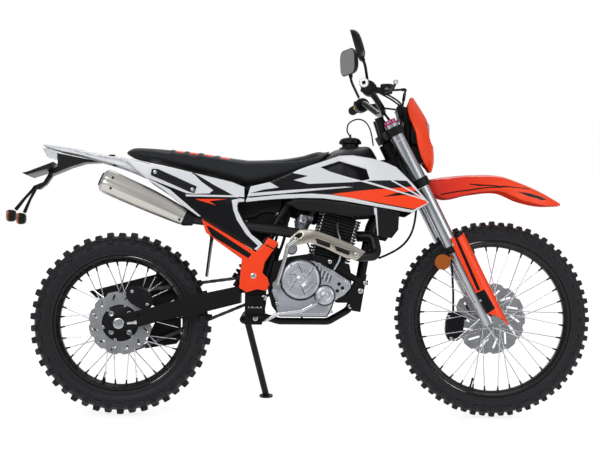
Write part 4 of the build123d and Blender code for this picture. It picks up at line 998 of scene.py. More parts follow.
rear_fender = Fender(REAR_ROWS, Vector((0, 0, 0)))
REAR_STRIPE = "-200,938 -150,930 -60,912 60,885 90,872 60,876 -60,903 -150,925"
zones = rear_fender.painted(SILVER_PLASTIC, REAR_STRIPE)
piece("smooth_rear_fender", "chassis", [
    skin(rear_fender.outline(-285, 97), zones, rear_fender.place, WHITE, thickness=4, outward=UP),
    *[
        (BLACK, lathe("0,3.5 -32,3.5 -32,9 -3,9 -3,12 0,12", (-36, y, 922), UP, 24, wrap=True))
        for y in (-50, 50)
    ],
], "rear_fender")

# height above the axle, nose and rear x from it, half width
MASK_ROWS = points("""
    522,-216,-226,26 560,-208,-254,58 614,-211,-273,84 660,-217,-282,94 710,-235,-302,88
    750,-258,-308,62 791,-284,-294,18
""")


def mask_arc(z):
    """Nose, radius and half the arc length of the mask's section at a height."""
    nose, rear, half = profile_at(MASK_ROWS, z)
    sagitta = max(nose - rear, 4)
    radius = (half**2 + sagitta**2) / (2 * sagitta)
    return nose, radius, radius * asin(min(1, half / radius))


def mask_surface(u, z):
    """Point at a distance round the mask from its middle."""
    nose, radius, _ = mask_arc(z)
    return front(nose - radius + radius * cos(u / radius), radius * sin(u / radius), z)


MASK_EDGE = [(mask_arc(z)[2], z) for z in np.linspace(MASK_ROWS[0][0], MASK_ROWS[-1][0], 27)]
MASK = MASK_EDGE + [(-u, z) for u, z in reversed(MASK_EDGE)]
WINDOW = softened("-53,614 53,614 53,700 -53,700")
MASK_STRIPE = points("6,775 16,775 40,735 66,700 68,648 56,590 48,560 46,590 54,648 50,695 28,735")
zones = [(GLOSS, MASK_STRIPE), (GLOSS, mirrored_loop(MASK_STRIPE))]
mask = skin(MASK, zones, mask_surface, ORANGE, thickness=4, gap=8, holes=[WINDOW], outward=AHEAD)
piece("striped_mask", "steering", [mask], "headlamp_mask")

# ---------------------------------------------------------------- fork
# distance round the shield from its front, outwards, and height along the leg
FORK_GUARD = """
    -72,326 -52,314 0,322 52,314 72,326 80,300 80,60 78,36 53,13 34,-10 19,-37 10,-37 8,50 4,61 -20,63
    -50,70 -78,84 -80,300
"""
FORK_ZONES = [(GLOSS, "90,114 48,113 43,37 90,30"), (GLOSS, "52,318 62,318 72,119 61,119")]
shield_line, shield_along = measured("60,0 58,14 51,26 38,33 18,34 0,33")
shields, seals = [], []
for side in (-1, 1):

    def fork_guard_surface(u, v, side=side):
        ahead, across = [np.interp(abs(u), shield_along, shield_line[:, k]) for k in (0, 1)]
        return steer(LEG_AHEAD + ahead, side * (LEG_SPACING + (across if u > 0 else -across)), v)

    shell = skin(FORK_GUARD, FORK_ZONES, fork_guard_surface, ORANGE, thickness=4, gap=8, outward=AHEAD)
    shields.append(shell)
    for height in (84, 300):
        outer = steer(LEG_AHEAD + 5, side * (LEG_SPACING + 32), height)
        shields.append((BLACK, lathe("0,7 16,7", outer, RIGHT * side, 16)))
        shields += bolts(STEEL, [outer], LEFT * side, 6, 1.6)
    foot = steer(LEG_AHEAD, side * LEG_SPACING, 0)
    seals += [
        (finish, lathe(profile, foot, STEER_UP, sides))
        for finish, profile, sides in (
            (BLACK, "274,22 276,26.4 296,26.4 299,25.4 300,25", 40),
            (CHROME, "526,25.2 528,26.2 530,25.2", 40),
            (CHROME, "710,25.2 712,26.2 714,25.2", 40),
            (MAGENTA, "775,25.4 779,25.4 781,23", 40),
            (MAGENTA, "780,21.5 790,21.5 792,19.5", 6),
        )
    ]
piece("striped_fork_guards", "steering", shields, "fork_guards")
piece("fork_seals_and_caps", "steering", seals)

# ---------------------------------------------------------------- muffler and shield
# centre x, y, z, half height, half width
MUFFLER_ROWS = """
    -60,-125,828,33,33 -52,-124.8,824.7,40,40 -36,-124,818,43,42 20,-119,793,42.5,41.5
    110,-112,754,40,38 200,-104.5,712,33,31 226,-102,700.5,29.5,28
"""
MUFFLER_END = "226,-102,700.5,29.5,28 236,-101.5,697,29,27 262,-100,690.5,21,21"
MUFFLER_TIP = Vector((-60, -125, 828))
MUFFLER_CORNERS = "-0.5,-1 0.5,-1 1,-0.32 0.93,0.0 1,0.32 0.5,1 -0.5,1 -1,0.32 -0.93,0.0 -1,-0.32"
RUN = Vector((-292, -23, 130)).normalized()
MUFFLER_UP = LEFT.cross(RUN).normalized() * -1


def muffler_loop(row, grow=0.0):
    """Section across the muffler at one row of its table."""
    x, y, z, tall, wide = row
    return [
        Vector((x, y, z)) + LEFT * a * (wide + grow) + MUFFLER_UP * b * (tall + grow)
        for a, b in softened(MUFFLER_CORNERS)
    ]


rows = curve(MUFFLER_ROWS, 5)
piece("silencer", "chassis", [
    (MUFFLER, rings([muffler_loop(row) for row in rows])),
    *[(STEEL, rings([muffler_loop(row, 1.1) for row in band])) for band in (rows[3:6], rows[27:29])],
    (DARK_CAST, lathe("-6,31 2,29 5,24 8,23 8,19 -6,19", MUFFLER_TIP, RUN, 36, wrap=True)),
    # a dark rubber disc just inside the outlet is the painted shade of its hole
    (TYRE, lathe("1,19.5 1.5,19.5", MUFFLER_TIP, RUN, 30)),
    (BLACK, rings([muffler_loop(row, 0.8) for row in points(MUFFLER_END)])),
    *bolts(DARK_CAST, "-20,-165,833 -28,-163.5,795 210,-132,690", RIGHT, 4.2, 2.5),
], "muffler")

SHIELD_OUTLINE = """
    862,584 806,612 736,640 673,660 630,660 600,634 588,600 625,604 666,613 719,595 789,562 831,552
"""
SLOTS = [
    "686,630 738,612 736,596 692,611",
    "753,604 806,585 804,571 759,587",
    softened("612,640 640,650 640,634 616,622"),
]


def shield_surface(x, z):
    """Point on the heat shield, curved round the pipe behind it."""
    middle = 640 - 0.42 * max(0, x - 680) - 0.25 * max(0, 680 - x)
    return Vector((x, -130 + ((z - middle) / 34) ** 2 * 7, z))


piece("slotted_heat_shield", "chassis", [
    skin(SHIELD_OUTLINE, [], shield_surface, SHIELD, thickness=3, gap=7, rounded=1.5, holes=SLOTS),
    *bolts(STEEL, level(-130, "618,624 830,573"), RIGHT, 8, 4),
], "exhaust_shield")

# ---------------------------------------------------------------- engine
CASE = points("""
    590,542 631,556 684,550 754,515 806,481 812,470 810,455 786,430 750,411 739,378 726,358 564,358
    552,380 548,409 534,444 545,480 560,500
""")
CASE_BOLTS = """
    600,540 655,550 700,538 748,510 796,478 790,442 758,420 744,372 700,364 640,362 578,366 553,400
    545,445 566,506
"""
CLUTCH = (634, 0, 485)
CLUTCH_PROFILE = """
    110,70 128,68 133,64 134.5,58 134.5,44 132.8,42 132.8,34 134.5,32 134.5,22 133,20 133,12 134.5,10
    134.5,0
"""
STARTER = (720, 0, 430)
ALTERNATOR = (668, 0, 460)
RIB_SHADOW = Vector((3, 0.6, 1))
case = [
    (CAST, plate(CASE, -112, -95.2, 3)),
    (CAST, plate(inset(CASE, 7), -115, -108, 2)),
    (CAST, lathe(CLUTCH_PROFILE, CLUTCH, RIGHT, 72)),
    # the dark alloy ring round the foot of the clutch cover is painted shade in the gap to the case
    (DARK_CAST, lathe("114,71 119,73.5 119.6,73.5 119.6,70", CLUTCH, RIGHT, 72, wrap=True)),
]
for k in range(6):
    rib = []
    for radius, y, bend in points("22,-134.6,0.4 38,-134,0.65 57,-134.4,0.75"):
        turn = pi / 3 * k + bend
        rib.append(Vector((CLUTCH[0] + cos(turn) * radius, y, CLUTCH[2] + sin(turn) * radius)))
    case += [(CAST, tube(rib, 2.2, 8)), (DARK_CAST, tube([at + RIB_SHADOW for at in rib], 1.9, 8))]
case += [
    (CAST, lathe("110,34 120,33 124,29 125,22 123.5,20 123.5,12 125,10 125,0", STARTER, RIGHT, 48)),
    # the dark alloy ring round the foot of the starter cover is painted shade in the gap to the case
    (DARK_CAST, lathe("114,35 117,37 117.6,37 117.6,34", STARTER, RIGHT, 48, wrap=True)),
]
# each cast louvre has a dark alloy tube beside it, its painted shadow
for k in range(5):
    x, high, low = 12 * k, 8.5 * k, 6 * k
    case += [
        (CAST, tube([(690 + x, -116, 538 - high), (681 + x, -116, 500 - low)], 3.2, 8)),
        (DARK_CAST, tube([(696 + x, -115.2, 533 - high), (687 + x, -115.2, 498 - low)], 1.6, 8)),
    ]
CASE_DOTS = "770,470 782,456 764,446"
LEFT_CASE = "524,440 540,540 600,556 690,545 745,500 745,420 700,370 560,365"
case += [
    *[(DARK_CAST, lathe("0,6.5 0.8,6.5 0.8,0", at, RIGHT, 20)) for at in level(-115, CASE_DOTS)],
    *bolts(STEEL, level(-114, CASE_BOLTS), RIGHT, 5.5, 5),
    *bolts(STEEL, circle(5, 58, (634, -131, 485), 0.9), RIGHT, 4.6, 5),
    (CAST, plate(LEFT_CASE, 95.2, 104, 2.5)),
    (CAST, lathe("100,63 118,61 124,56 127,46 125.5,43 125.5,20 127,17 127,0", ALTERNATOR, LEFT, 72)),
    *bolts(STEEL, circle(6, 55, (668, 119, 460), 0.3), LEFT, 5, 6),
    *bolts(STEEL, level(103, "545,530 610,546 700,528 736,430 690,376 570,374"), LEFT, 5.5, 5),
]
piece("bolted_engine_covers", "chassis", case, "engine_covers")

# ---------------------------------------------------------------- spring, grips and small fittings
low_eye, high_eye = Vector((404, 0, 458)), Vector((528, 0, 662))
length = (high_eye - low_eye).length
run = (high_eye - low_eye).normalized()
side_way = run.orthogonal().normalized()
other_way = run.cross(side_way)
COILS, COIL_SIDES = 8, 20
SPRING_FOOT, SPRING_SHORTER = 46, 80  # its foot above the lower eye, and how much shorter than the unit
COIL_RADIUS, WIRE_RADIUS = 27, 4.6
coil = []
for k in range(COILS * COIL_SIDES + 1):
    angle = 2 * pi * k / COIL_SIDES
    along = SPRING_FOOT + k / (COILS * COIL_SIDES) * (length - SPRING_SHORTER)
    coil.append(low_eye + run * along + (side_way * cos(angle) + other_way * sin(angle)) * COIL_RADIUS)
upper = [(length - back, radius) for back, radius in points("34,12 34,30 24,30 22,14 0,13")]
damper = points("0,12 20,12 24,30 42,31 44,18 120,18 120,12") + upper
piece("coil_shock", "chassis", [
    (FRAME, tube(coil, WIRE_RADIUS, 10)),
    (DARK_CAST, lathe(damper, low_eye, run, 32)),
], "rear_shock")

BAR_END = front(-483, -400, 789)
GRIP_RUN = (front(-448, -190, 791) - BAR_END).normalized()
profile = points("1,12 2,16.5 6,17")
for k in range(15):
    profile += [(at + k * 7.4, radius) for at, radius in points("9,16.6 10.5,15.2 13.5,15.2 15,16.6")]
profile += points("122,17 124,23 131,24 133,22 133,12")
bar_plug = lathe("-1,6.5 1.5,6.5 2.2,14.5 0.5,16 -1,15", BAR_END, GRIP_RUN, 28, wrap=True)
piece("ribbed_grips", "steering", [
    (RUBBER, lathe(profile, BAR_END, GRIP_RUN, 32), BOTH),
    (STEEL, bar_plug, BOTH),
], "grips")

TOOTH = "452,383 502,383 499,390 492,385 485,390 477,385 469,390 462,385 455,390"
teeth = [(STEEL, plate(TOOTH, y - 3, y, 0.6), BOTH) for y in range(-118, -190, -12)]
piece("peg_teeth", "chassis", teeth)

# ---------------------------------------------------------------- handlebar controls, mirrors and cables
PERCH_FROM_END = 160
perch = BAR_END + GRIP_RUN * PERCH_FROM_END
far_perch = Vector((perch.x, -perch.y, perch.z))
reservoir = perch + Vector((62, 26, 2))
clamp = "-22,12 -22,24 -19,26.5 -4,26.5 -2.5,25 0,25 1.5,26.5 22,26.5 26,23 26,12"
BLADE = "48,20,-8 62,-20,-11 73,-60,-12 76,-120,-9 78,-188,-4"
blade = curve([perch + Vector(p) for p in points(BLADE)], 6)
taper = [7 - 2 * k / (len(blade) - 1) for k in range(len(blade))]
levers = [
    (BLACK, lathe(clamp, perch, GRIP_RUN, 40, wrap=True), BOTH),
    (DARK_CAST, tube([perch + Vector((0, 0, -2)), perch + Vector((52, 14, -6))], [13, 10]), BOTH),
    (DARK_CAST, lathe("-13,9 -12,11 12,11 13,9", perch + Vector((52, 15, -7)), UP, 24), BOTH),
    (BLACK, tube(blade, taper), BOTH),
    (STEEL, ball(perch + Vector((78, -192, -3)), 8.6), BOTH),
    (BLACK, stacked(rounded(40, 44, 10), "-16,0.9 -14,1 7,1", reservoir, UP, AHEAD, LEFT)),
    (GLOSS, stacked(rounded(42, 46, 11), "7,1 13,1 16,0.9", reservoir, UP, AHEAD, LEFT)),
]
for y in (-16, 16):
    levers.append((STEEL, lathe("0,3.2 1,3.2 1.6,2", reservoir + Vector((0, y, 15.8)), UP, 12)))
levers.append((LENS, lathe("0,7 1,7 1.4,5.5", reservoir + Vector((0, -21.8, -4)), RIGHT, 20)))
for holder, y, z, finish, profile in (
    (perch, -8, 8, RED_LENS, "0,5 4,5 5,3.5"),
    (perch, 8, -6, DARK_CAST, "0,5 4,5 5,3.5"),
    (far_perch, -10, 9, BLACK, "0,6 4,6 5,4"),
    (far_perch, 6, -8, YELLOW, "0,6 4,6 5,4"),
    (far_perch, 12, 8, DARK_CAST, "0,6 4,6 5,4"),
):
    levers.append((finish, lathe(profile, holder + Vector((-24, y, z)), (-1, 0, 0.1), 16)))
for side in (-1, 1):
    places = [(perch.x + 22, side * (abs(perch.y) + off), perch.z + 12) for off in (-7, 7)]
    levers += bolts(STEEL, places, (1, 0, 0.6), 4, 3)
piece("brake_and_clutch_levers", "steering", levers, "controls")

# for each mirror: side, centre from the front axle and the way its back faces
MIRRORS = [(-1, (-508, -322, 926), (1, -0.12, 0.30)), (1, (-506, 322, 966), (1, 0.35, 0.05))]
MIRROR_LEVELS = "0,0.93 -2,0.95 -2,0.975 0,0.99 3,0.975 8,0.945 14,0.89 20,0.78 24.5,0.58 26,0.3"
shells = []
for side, centre, back in MIRRORS:
    out, wide = Vector(back).normalized(), Vector((-back[1], back[0], 0)).normalized()
    tall = out.cross(wide)
    at = front(*centre)
    foot = Vector((perch.x, side * abs(perch.y), perch.z)) + Vector((-4, -side * 6, 18))
    below, socket = at - tall * 70 + out * 12, at - tall * 28 + out * 8
    bend = (foot + below) / 2 + Vector((0, side * 10, 0))
    shells += [
        (BLACK, stacked(rounded(150, 100, 34), MIRROR_LEVELS, at, out, wide, tall)),
        (BLACK, hose([foot, bend, below, socket], 5, 12)),
        (STEEL, lathe("0,8 10,8 12,6.5", foot, below - foot, 6)),
        (BLACK, tube([below + (socket - below) * 0.25, socket], [7, 11])),
    ]
piece("domed_mirrors", "steering", shells, "mirrors")

# looms and cables from the bar down to the head: finish, radius and route
CABLES = [
    (RUBBER, 3.2, "898,-215,1136 945,-190,1120 985,-130,1098 990,-62,1060 978,-46,990 972,-44,900"),
    (RUBBER, 3.2, "898,-225,1130 950,-205,1104 995,-140,1076 1000,-70,1030 984,-54,960 975,-50,880"),
    (RUBBER, 3.6, "930,236,1134 985,190,1122 1012,110,1104 1006,50,1060 985,44,980 975,44,900"),
    (RUBBER, 4.2, "880,190,1128 905,150,1112 930,96,1076 948,70,1050 966,60,1010 968,56,930"),
    (BLACK, 4.4, "872,-180,1126 900,-142,1106 928,-94,1072 950,-66,1046 966,-58,1000 966,-54,930"),
]
# the front brake hose's corners, each inner one covered by a rubber sleeve
HOSE_CORNERS = [perch + Vector((70, 44, 0))]
HOSE_CORNERS += [front(*p) for p in points("-320,-110,806 -312,40,806 -320,98,736 -264,99,579")]
looms = [(finish, hose(route, radius)) for finish, radius, route in CABLES]
for before, bend, after in zip(HOSE_CORNERS, HOSE_CORNERS[1:], HOSE_CORNERS[2:]):
    arriving, leaving = (before - bend).normalized(), (after - bend).normalized()
    sleeve = [bend + arriving * 24, bend + (arriving + leaving) * 5, bend + leaving * 24]
    looms.append((RUBBER, tube(curve(sleeve, 6), 5.6, 12)))
LOOM_CLIPS = "950,-62,1046 952,66,1046"
BUCKET = "-344,737 -330,748 -300,736 -294,700 -299,615 -311,615 -320,696 -338,712"
looms += [
    *[(BLACK, lathe("-5,9 -4,10 4,10 5,9", at, (0.3, 0, -1), 16)) for at in points(LOOM_CLIPS)],
    (MAGENTA, ball((918, -30, 1092), 5)),
    (BLACK, plate(shifted(BUCKET, *FRONT_ORIGIN), -50, 50, 4)),
]
piece("looms_and_lamp_bucket", "steering", looms)

# ---------------------------------------------------------------- headlamp, indicators and brake calipers
lamp_at = front(0, 0, 657)
LAMP_LEVELS = """
    -298,0.85 -294,0.97 -288,1 -241,1 -238,0.985 -238,0.95 -246,0.93 -262,0.85 -274,0.6 -279,0.25
"""
LENS_LEVELS = "-238.5,1 -235,1 -231,0.94 -228,0.8 -226.5,0.45"
LAMP_FOOT = "-280,549 -298,599 -298,615 -260,615 -238,554"
lamp_loop = rounded(101, 83, 15)
count = len(lamp_loop)
lamp_kinds = [BLACK] * (5 * count) + [CHROME] * (4 * count) + [BLACK, CHROME]
piece("reflector_headlamp", "steering", [
    (lamp_kinds, stacked(lamp_loop, LAMP_LEVELS, lamp_at)),
    (LENS, stacked(rounded(96, 78, 13), LENS_LEVELS, lamp_at)),
    (STEEL, lathe("0,11 12,11 14,7 24,7 27,4", lamp_at - AHEAD * 279, AHEAD, 20)),
    (BLACK, plate(shifted(LAMP_FOOT, *FRONT_ORIGIN), -44, 44, 3)),
], "headlamp")

winker = Vector((-380, -104, 700))
piece("capped_rear_indicators", "chassis", [
    (RUBBER, tube("-314,-14,805 -340,-50,768 -366,-90,724", [6, 5, 7]), BOTH),
    (BLACK, stacked(rounded(44, 42, 14), "17,0.5 14,0.8 6,0.97 -7,1", winker), BOTH),
    (AMBER, stacked(rounded(43, 41, 14), "-7,1 -13,0.96 -16,0.8 -17,0.5", winker), BOTH),
], "rear_indicators")


def axle_plate(axle, outline, low_y, high_y, chamfer, times):
    """Dark alloy plate with an outline given from an axle, its corners cut some times."""
    return DARK_CAST, plate(softened(shifted(outline, axle.x, axle.z), times), low_y, high_y, chamfer)


# for each caliper: its halves on either side of the disc, and the bridge outside it
FRONT_BODY = "-162,-75 -108,-87 -90,-19 -98,23 -156,21"
FRONT_BRIDGE = "-162,-75 -114,-86 -124,-50 -132,-10 -131,21 -156,21"
FRONT_STAY = "-130,-21 -130,17 -66,62 -48,40 -88,-16"
FRONT_BOLTS = "-148,34,6 -140,34,-72 -72,56,42"
PISTON = "76,15 79,15 80,13 79.2,11 79.2,0"
piece("twin_piston_caliper", "steering", [
    axle_plate(FRONT_AXLE, FRONT_BODY, 34, 42.4, 3, 2),
    axle_plate(FRONT_AXLE, FRONT_BODY, 49.6, 79, 3, 2),
    axle_plate(FRONT_AXLE, FRONT_BRIDGE, 41, 51, 1, 1),
    axle_plate(FRONT_AXLE, FRONT_STAY, 56, 66, 2, 1),
    (DARK_CAST, tube([steer(24, 58, 74), steer(24, LEG_SPACING - 10, 74)], 8)),
    *[(DARK_CAST, lathe(PISTON, front(*at), LEFT, 32)) for at in level(0, "-130,-48 -122,-14")],
    *bolts(STEEL, [front(*at) for at in points(FRONT_BOLTS)], RIGHT, 5.5, 5),
], "front_caliper")

REAR_BODY = "20,84 70,52 96,46 120,72 106,108 60,132 26,128"
REAR_BRIDGE = "110,64 119,73 106,108 60,131 28,127 27,118 66,100 92,78"
piece("rear_brake_caliper", "chassis", [
    axle_plate(REAR_AXLE, REAR_BODY, -88, -50.4, 3, 2),
    axle_plate(REAR_AXLE, REAR_BODY, -42.4, -34, 3, 2),
    axle_plate(REAR_AXLE, REAR_BRIDGE, -51, -42, 1, 0),
    *bolts(STEEL, [REAR_AXLE + Vector(at) for at in level(-88, "44,112 98,66")], RIGHT, 5.5, 5),
], "rear_caliper")

# ---------------------------------------------------------------- carburettor, air box and engine fittings
CYLINDER_BASE = Vector((735, 0, 556))
CYLINDER_TILT = radians(15)
BORE_UP = Vector((sin(CYLINDER_TILT), 0, cos(CYLINDER_TILT)))
BORE_AHEAD = Vector((cos(CYLINDER_TILT), 0, -sin(CYLINDER_TILT)))


def on_cylinder(x, y, z):
    """Point given from the foot of the cylinder, along its own directions."""
    return CYLINDER_BASE + BORE_AHEAD * x + Vector((0, y, 0)) + BORE_UP * z


inlet, boot_end = on_cylinder(-56.2, 0, 128), Vector((566, 0, 742))
throat = boot_end - inlet
bowl, bowl_up = Vector((636, 0, 660)), (16, 0, 92)
folds = points("82,21 84,24.5 96,24.5") + [(98 + 3.5 * k, 25 if k % 2 else 21.5) for k in range(10)]
folds += points("136,24.5 155,24.5")
BOOT = "0,25 5,25 6,18 20,17 24,22 34,23 36,20"
BARREL = "34,20 36,24 40,24 42,20 76,20 78,24 82,24 84,20"
BOWL = "0,16 2,22 16,26 26,28 27,30 31,30 32,27 56,26"
BOWL_CAP = "56,26 58,29 62,29 64,25 76,22 80,22 82,16 92,8"
AIR_BOX = softened("350,700 468,694 500,722 566,712 574,782 540,792 350,800", 1)
AIR_PANEL = softened("372,716 470,712 498,736 548,730 552,776 372,784", 1)
piece("ribbed_intake", "chassis", [
    (RUBBER, lathe(BOOT, inlet, throat, 36)),
    (CAST, lathe(BARREL, inlet, throat, 36)),
    (RUBBER, lathe(folds, inlet, throat, 36)),
    (CAST, lathe(BOWL, bowl, bowl_up, 36)),
    (BLACK, lathe(BOWL_CAP, bowl, bowl_up, 36)),
    *bolts(STEEL, [bowl + Vector((12, y, 28)) for y in (-24, 24)], UP, 3.5, 4),
    (STEEL, lathe("0,9 6,9 7,6 14,5", bowl + Vector((6, -26, 30)), RIGHT, 16)),
    (BLACK, plate(AIR_BOX, -58, 58, 5)),
    (RUBBER, plate(AIR_PANEL, -59, -59 * 0.96, 1)),
    (RUBBER, plate(AIR_PANEL, 59 * 0.96, 59, 1)),
], "intake")

plug, plug_out = on_cylinder(42, -48, 168), Vector((0.45, -0.8, 0.35))
plug_tip = plug + plug_out.normalized() * 38
STUD = "0,4 150,4"
BRACKET_BOLTS = "846,-103,446 812,-84,392 486,-92,597 478,-92,347 468,-92,552 508,-92,420"
STAY = "731,557 862,481 872,484 872,468 858,464 727,540"
OIL_PIPE = "752,-104,520 772,-112,560 776,-104,612 764,-74,668 770,-58,700"
OVERFLOW = "640,-24,664 650,-70,632 668,-92,590 676,-98,540 668,-80,420 640,-70,350"
COVER_BOLTS = [on_cylinder(8 + x, -62, 190 + z) for x, _, z in circle(3, 20, (0, 0, 0), 0.5)]
piece("engine_fittings", "chassis", [
    (FIN, stacked(rounded(96, 84, 18), "214,1 224,1 229,0.92", CYLINDER_BASE, BORE_UP, BORE_AHEAD, LEFT)),
    *bolts(STEEL, [on_cylinder(x, y, 228) for x in (-36, 36) for y in (-32, 32)], BORE_UP, 6.5, 6),
    (CAST, lathe("0,26 6,26 9,23 10,14 9,12 9,0", on_cylinder(8, -56, 190), RIGHT, 40)),
    *bolts(STEEL, COVER_BOLTS, RIGHT, 4, 4),
    (STEEL, lathe("0,8 8,8 9,9 14,9 15,6 20,6", plug, plug_out, 6)),
    (RUBBER, lathe("16,8.5 20,9.5 34,9 40,6", plug, plug_out, 20)),
    (RUBBER, hose([plug_tip, plug_tip + Vector((10, -2, 16)), (812, -62, 778), (790, -40, 800)], 3.4)),
    (CAST, lathe("0,17 3,20 78,20 82,16", (604, -52, 594), LEFT, 32)),
    *[(STEEL, lathe(STUD, on_cylinder(x, y * 0.86, 6), BORE_UP, 12)) for y in (-69, 69) for x in (-60, 60)],
    (STEEL, hose(OIL_PIPE, 4, 12)),
    (RUBBER, hose(OVERFLOW, 3)),
    *bolts(STEEL, BRACKET_BOLTS, RIGHT, 9, 7, BOTH),
    (DARK_CAST, lathe("0,24 3,24 4,20 3,17 4,14 3,0", (470, -90.4, 458), RIGHT, 32), BOTH),
    (FRAME, plate(STAY, -106, -98, 1.5), BOTH),
    *bolts(STEEL, level(-106, "738,548 862,474"), RIGHT, 7, 5, BOTH),
])

# covers between the spars, the rear brake's master cylinder and its hoses
TRAY = softened("436,736 592,738 602,704 572,664 540,640 528,596 486,604 452,650", 1)
TRAY_PANEL = softened("462,722 566,724 578,700 548,668 500,640 470,664", 1)
SPAR_COVER = softened("502,600 560,606 560,560 546,520 536,470 506,470", 1)
master, head_of_master = Vector((514, -84, 484)), Vector((538, -80, 578))
MASTER = "0,7 8,7 10,12 70,12 72,14 84,14 86,10 97,9"
piece("inner_covers_and_hoses", "chassis", [
    (BLACK, plate(TRAY, -46, -42, 1.5), BOTH),
    (RUBBER, plate(TRAY_PANEL, -49, -45, 1.5), BOTH),
    *bolts(STEEL, level(-49, "474,712 556,712 482,666"), RIGHT, 5, 3, BOTH),
    (BLACK, plate(SPAR_COVER, -44, -40, 1.5), BOTH),
    (DARK_CAST, lathe(MASTER, master, head_of_master - master, 24)),
    (RUBBER, hose([head_of_master, *points("548,-74,626 560,-66,668 566,-58,704")], 5, 12)),
    (RUBBER, hose("520,-70,470 500,-66,520 508,-62,590 530,-60,660 540,-56,716", 4.5, 12)),
    (RUBBER, hose("552,-50,560 574,-58,620 584,-56,668 590,-46,716", 5.5, 12)),
    (STEEL, lathe("0,14 2,16 30,16 32,13", (556, -56, 690), (0.1, 0, 1), 24)),
])

AXLE_BLOCK = "-40,-19 22,-19 30,-8 30,8 22,19 -40,19 -46,10 -46,-10"
adjusters = []
for side in (-1, 1):
    block_face = REAR_AXLE + LEFT * (side * 108)
    screw_at = REAR_AXLE + Vector((30, side * 106.5, 0))
    adjusters += [
        axle_plate(REAR_AXLE, AXLE_BLOCK, *sorted((side * 104, side * 108)), 1, 1),
        (STEEL, lathe("0,19 2,19 3,17.5 3,0", block_face, LEFT * side, 32)),
        (STEEL, lathe("3,14.5 13,14.5 15,12.5 15,9 12,8 12,0", block_face, LEFT * side, 6)),
        (STEEL, lathe("0,5 26,5 26,8 34,8 35,6", screw_at, (1, 0, 0.1), 6)),
    ]
piece("chain_adjusters", "chassis", adjusters)

# ---------------------------------------------------------------- clutch cable below the right shroud
CABLE_DIAMETER = 0.008
CABLE_ROUTE = points("905,-150,560 960,-152,582 1008,-152,622 1032,-152,680 1036,-152,735")
line = bpy.data.curves.new("clutch_cable_line", "CURVE")
line.dimensions = "3D"
spline = line.splines.new("NURBS")
spline.points.add(len(CABLE_ROUTE) - 1)
for point, place in zip(spline.points, CABLE_ROUTE):
    point.co = (*(TO_FRAME @ Vector(place)), 1)
spline.order_u = 3
spline.use_endpoint_u = True
line.bevel_depth = CABLE_DIAMETER / 2
line.bevel_resolution = 4
line.use_fill_caps = True
line.materials.append(RUBBER)
sheath = bpy.data.objects.new("clutch_cable_sheath", line)
bpy.context.scene.collection.objects.link(sheath)
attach(sheath, "chassis")
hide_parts("clutch_cable")

# ---------------------------------------------------------------- floor, light and camera
floor = bpy.data.meshes.new("floor")
floor.from_pydata([(-14, -14, 0), (14, -14, 0), (14, 14, 0), (-14, 14, 0)], [], [(0, 1, 2, 3)])
floor.materials.append(FLOOR)
ground = bpy.data.objects.new("floor", floor)
bpy.context.scene.collection.objects.link(ground)

PURE_WHITE = (1, 1, 1, 1)
FLOOR_GLOW = 1.25
FLOOR_GLOW_SHARE = 0.66
tree = FLOOR.node_tree
rays = node(tree, "LightPath", {})
either = combined(tree, "MAXIMUM", rays["Is Camera Ray"], rays["Is Glossy Ray"])
seen = combined(tree, "MAXIMUM", either, rays["Is Transmission Ray"])
share = combined(tree, "MULTIPLY", seen, FLOOR_GLOW_SHARE)
glow = node(tree, "Emission", {"Color": PURE_WHITE, "Strength": FLOOR_GLOW})[0]
paint = tree.nodes["Principled BSDF"].outputs[0]
mixed = node(tree, "MixShader", {"Fac": share, 1: paint, 2: glow})[0]
tree.links.new(mixed, tree.nodes["Material Output"].inputs["Surface"])

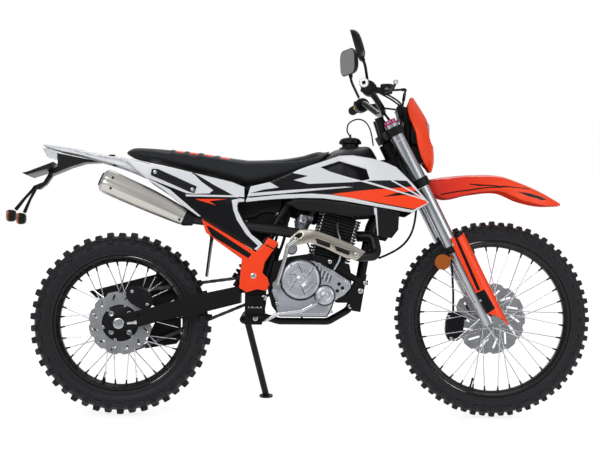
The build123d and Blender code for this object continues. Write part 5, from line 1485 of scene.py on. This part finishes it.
SKY_STRENGTH = 0.62
SKY_LOW, SKY_HIGH = (0.30, (0.55, 0.56, 0.58, 1)), (0.78, PURE_WHITE)
SKY_STOPS = ((0.47, 0.42), (0.56, 0.34), (0.66, 0.72))
world = bpy.data.worlds.new("studio")
bpy.context.scene.world = world
world.use_nodes = True
tree = world.node_tree
tree.nodes.clear()
rays = node(tree, "LightPath", {})
seen = combined(tree, "MAXIMUM", rays["Is Camera Ray"], rays["Is Transmission Ray"])
white = node(tree, "Background", {"Color": PURE_WHITE, "Strength": 1.0})[0]
facing = node(tree, "TexCoord", {})["Generated"]
height = node(tree, "SeparateXYZ", {"Vector": facing})["Z"]
half = node(tree, "MapRange", {"From Min": -1.0, "Value": height})["Result"]
sky = node(tree, "ValToRGB", {"Fac": half})["Color"]
ramp = sky.node.color_ramp
for stop, (place, tone) in zip(ramp.elements, (SKY_LOW, SKY_HIGH)):
    stop.position, stop.color = place, tone
for place, shade in SKY_STOPS:
    ramp.elements.new(place).color = (shade, shade * 1.01, shade * 1.03, 1)
soft = node(tree, "Background", {"Color": sky, "Strength": SKY_STRENGTH})[0]
node(tree, "OutputWorld", {"Surface": node(tree, "MixShader", {"Fac": seen, 1: soft, 2: white})[0]})

# name: place, power, width and height
LAMPS = {
    "key": ((-1.8, -3.4, 3.2), 62, 2.4, 1.6),
    "fill": ((2.8, -2.4, 1.8), 26, 2.2, 1.6),
    "rim": ((0.4, 3.4, 3.0), 50, 3.0, 1.6),
}
LAMP_AIM = Vector((0, 0, 0.6))
for name, (place, power, wide, tall) in LAMPS.items():
    data = bpy.data.lights.new(name, "AREA")
    data.energy, data.shape, data.size, data.size_y = power, "RECTANGLE", wide, tall
    lamp = bpy.data.objects.new(name, data)
    lamp.location = place
    lamp.rotation_euler = (LAMP_AIM - Vector(place)).to_track_quat("-Z", "Y").to_euler()
    bpy.context.scene.collection.objects.link(lamp)

CAMERA_AT = (-0.0735, -5.504, 1.472)
CAMERA_AIM = Vector((-0.0025, -0.0876, 0.6683))
CAMERA_ROLL = radians(0.6)
lens = bpy.data.cameras.new("photo_view")
lens.lens, lens.sensor_width = 91.8, 36.0
camera = bpy.data.objects.new("photo_view", lens)
camera.location = CAMERA_AT
aim = (CAMERA_AIM - camera.location).to_track_quat("-Z", "Y")
camera.rotation_euler = (aim @ Quaternion((0, 0, 1), CAMERA_ROLL)).to_euler()
bpy.context.scene.collection.objects.link(camera)
bpy.context.scene.camera = camera
bpy.context.scene.view_settings.view_transform = "Standard"
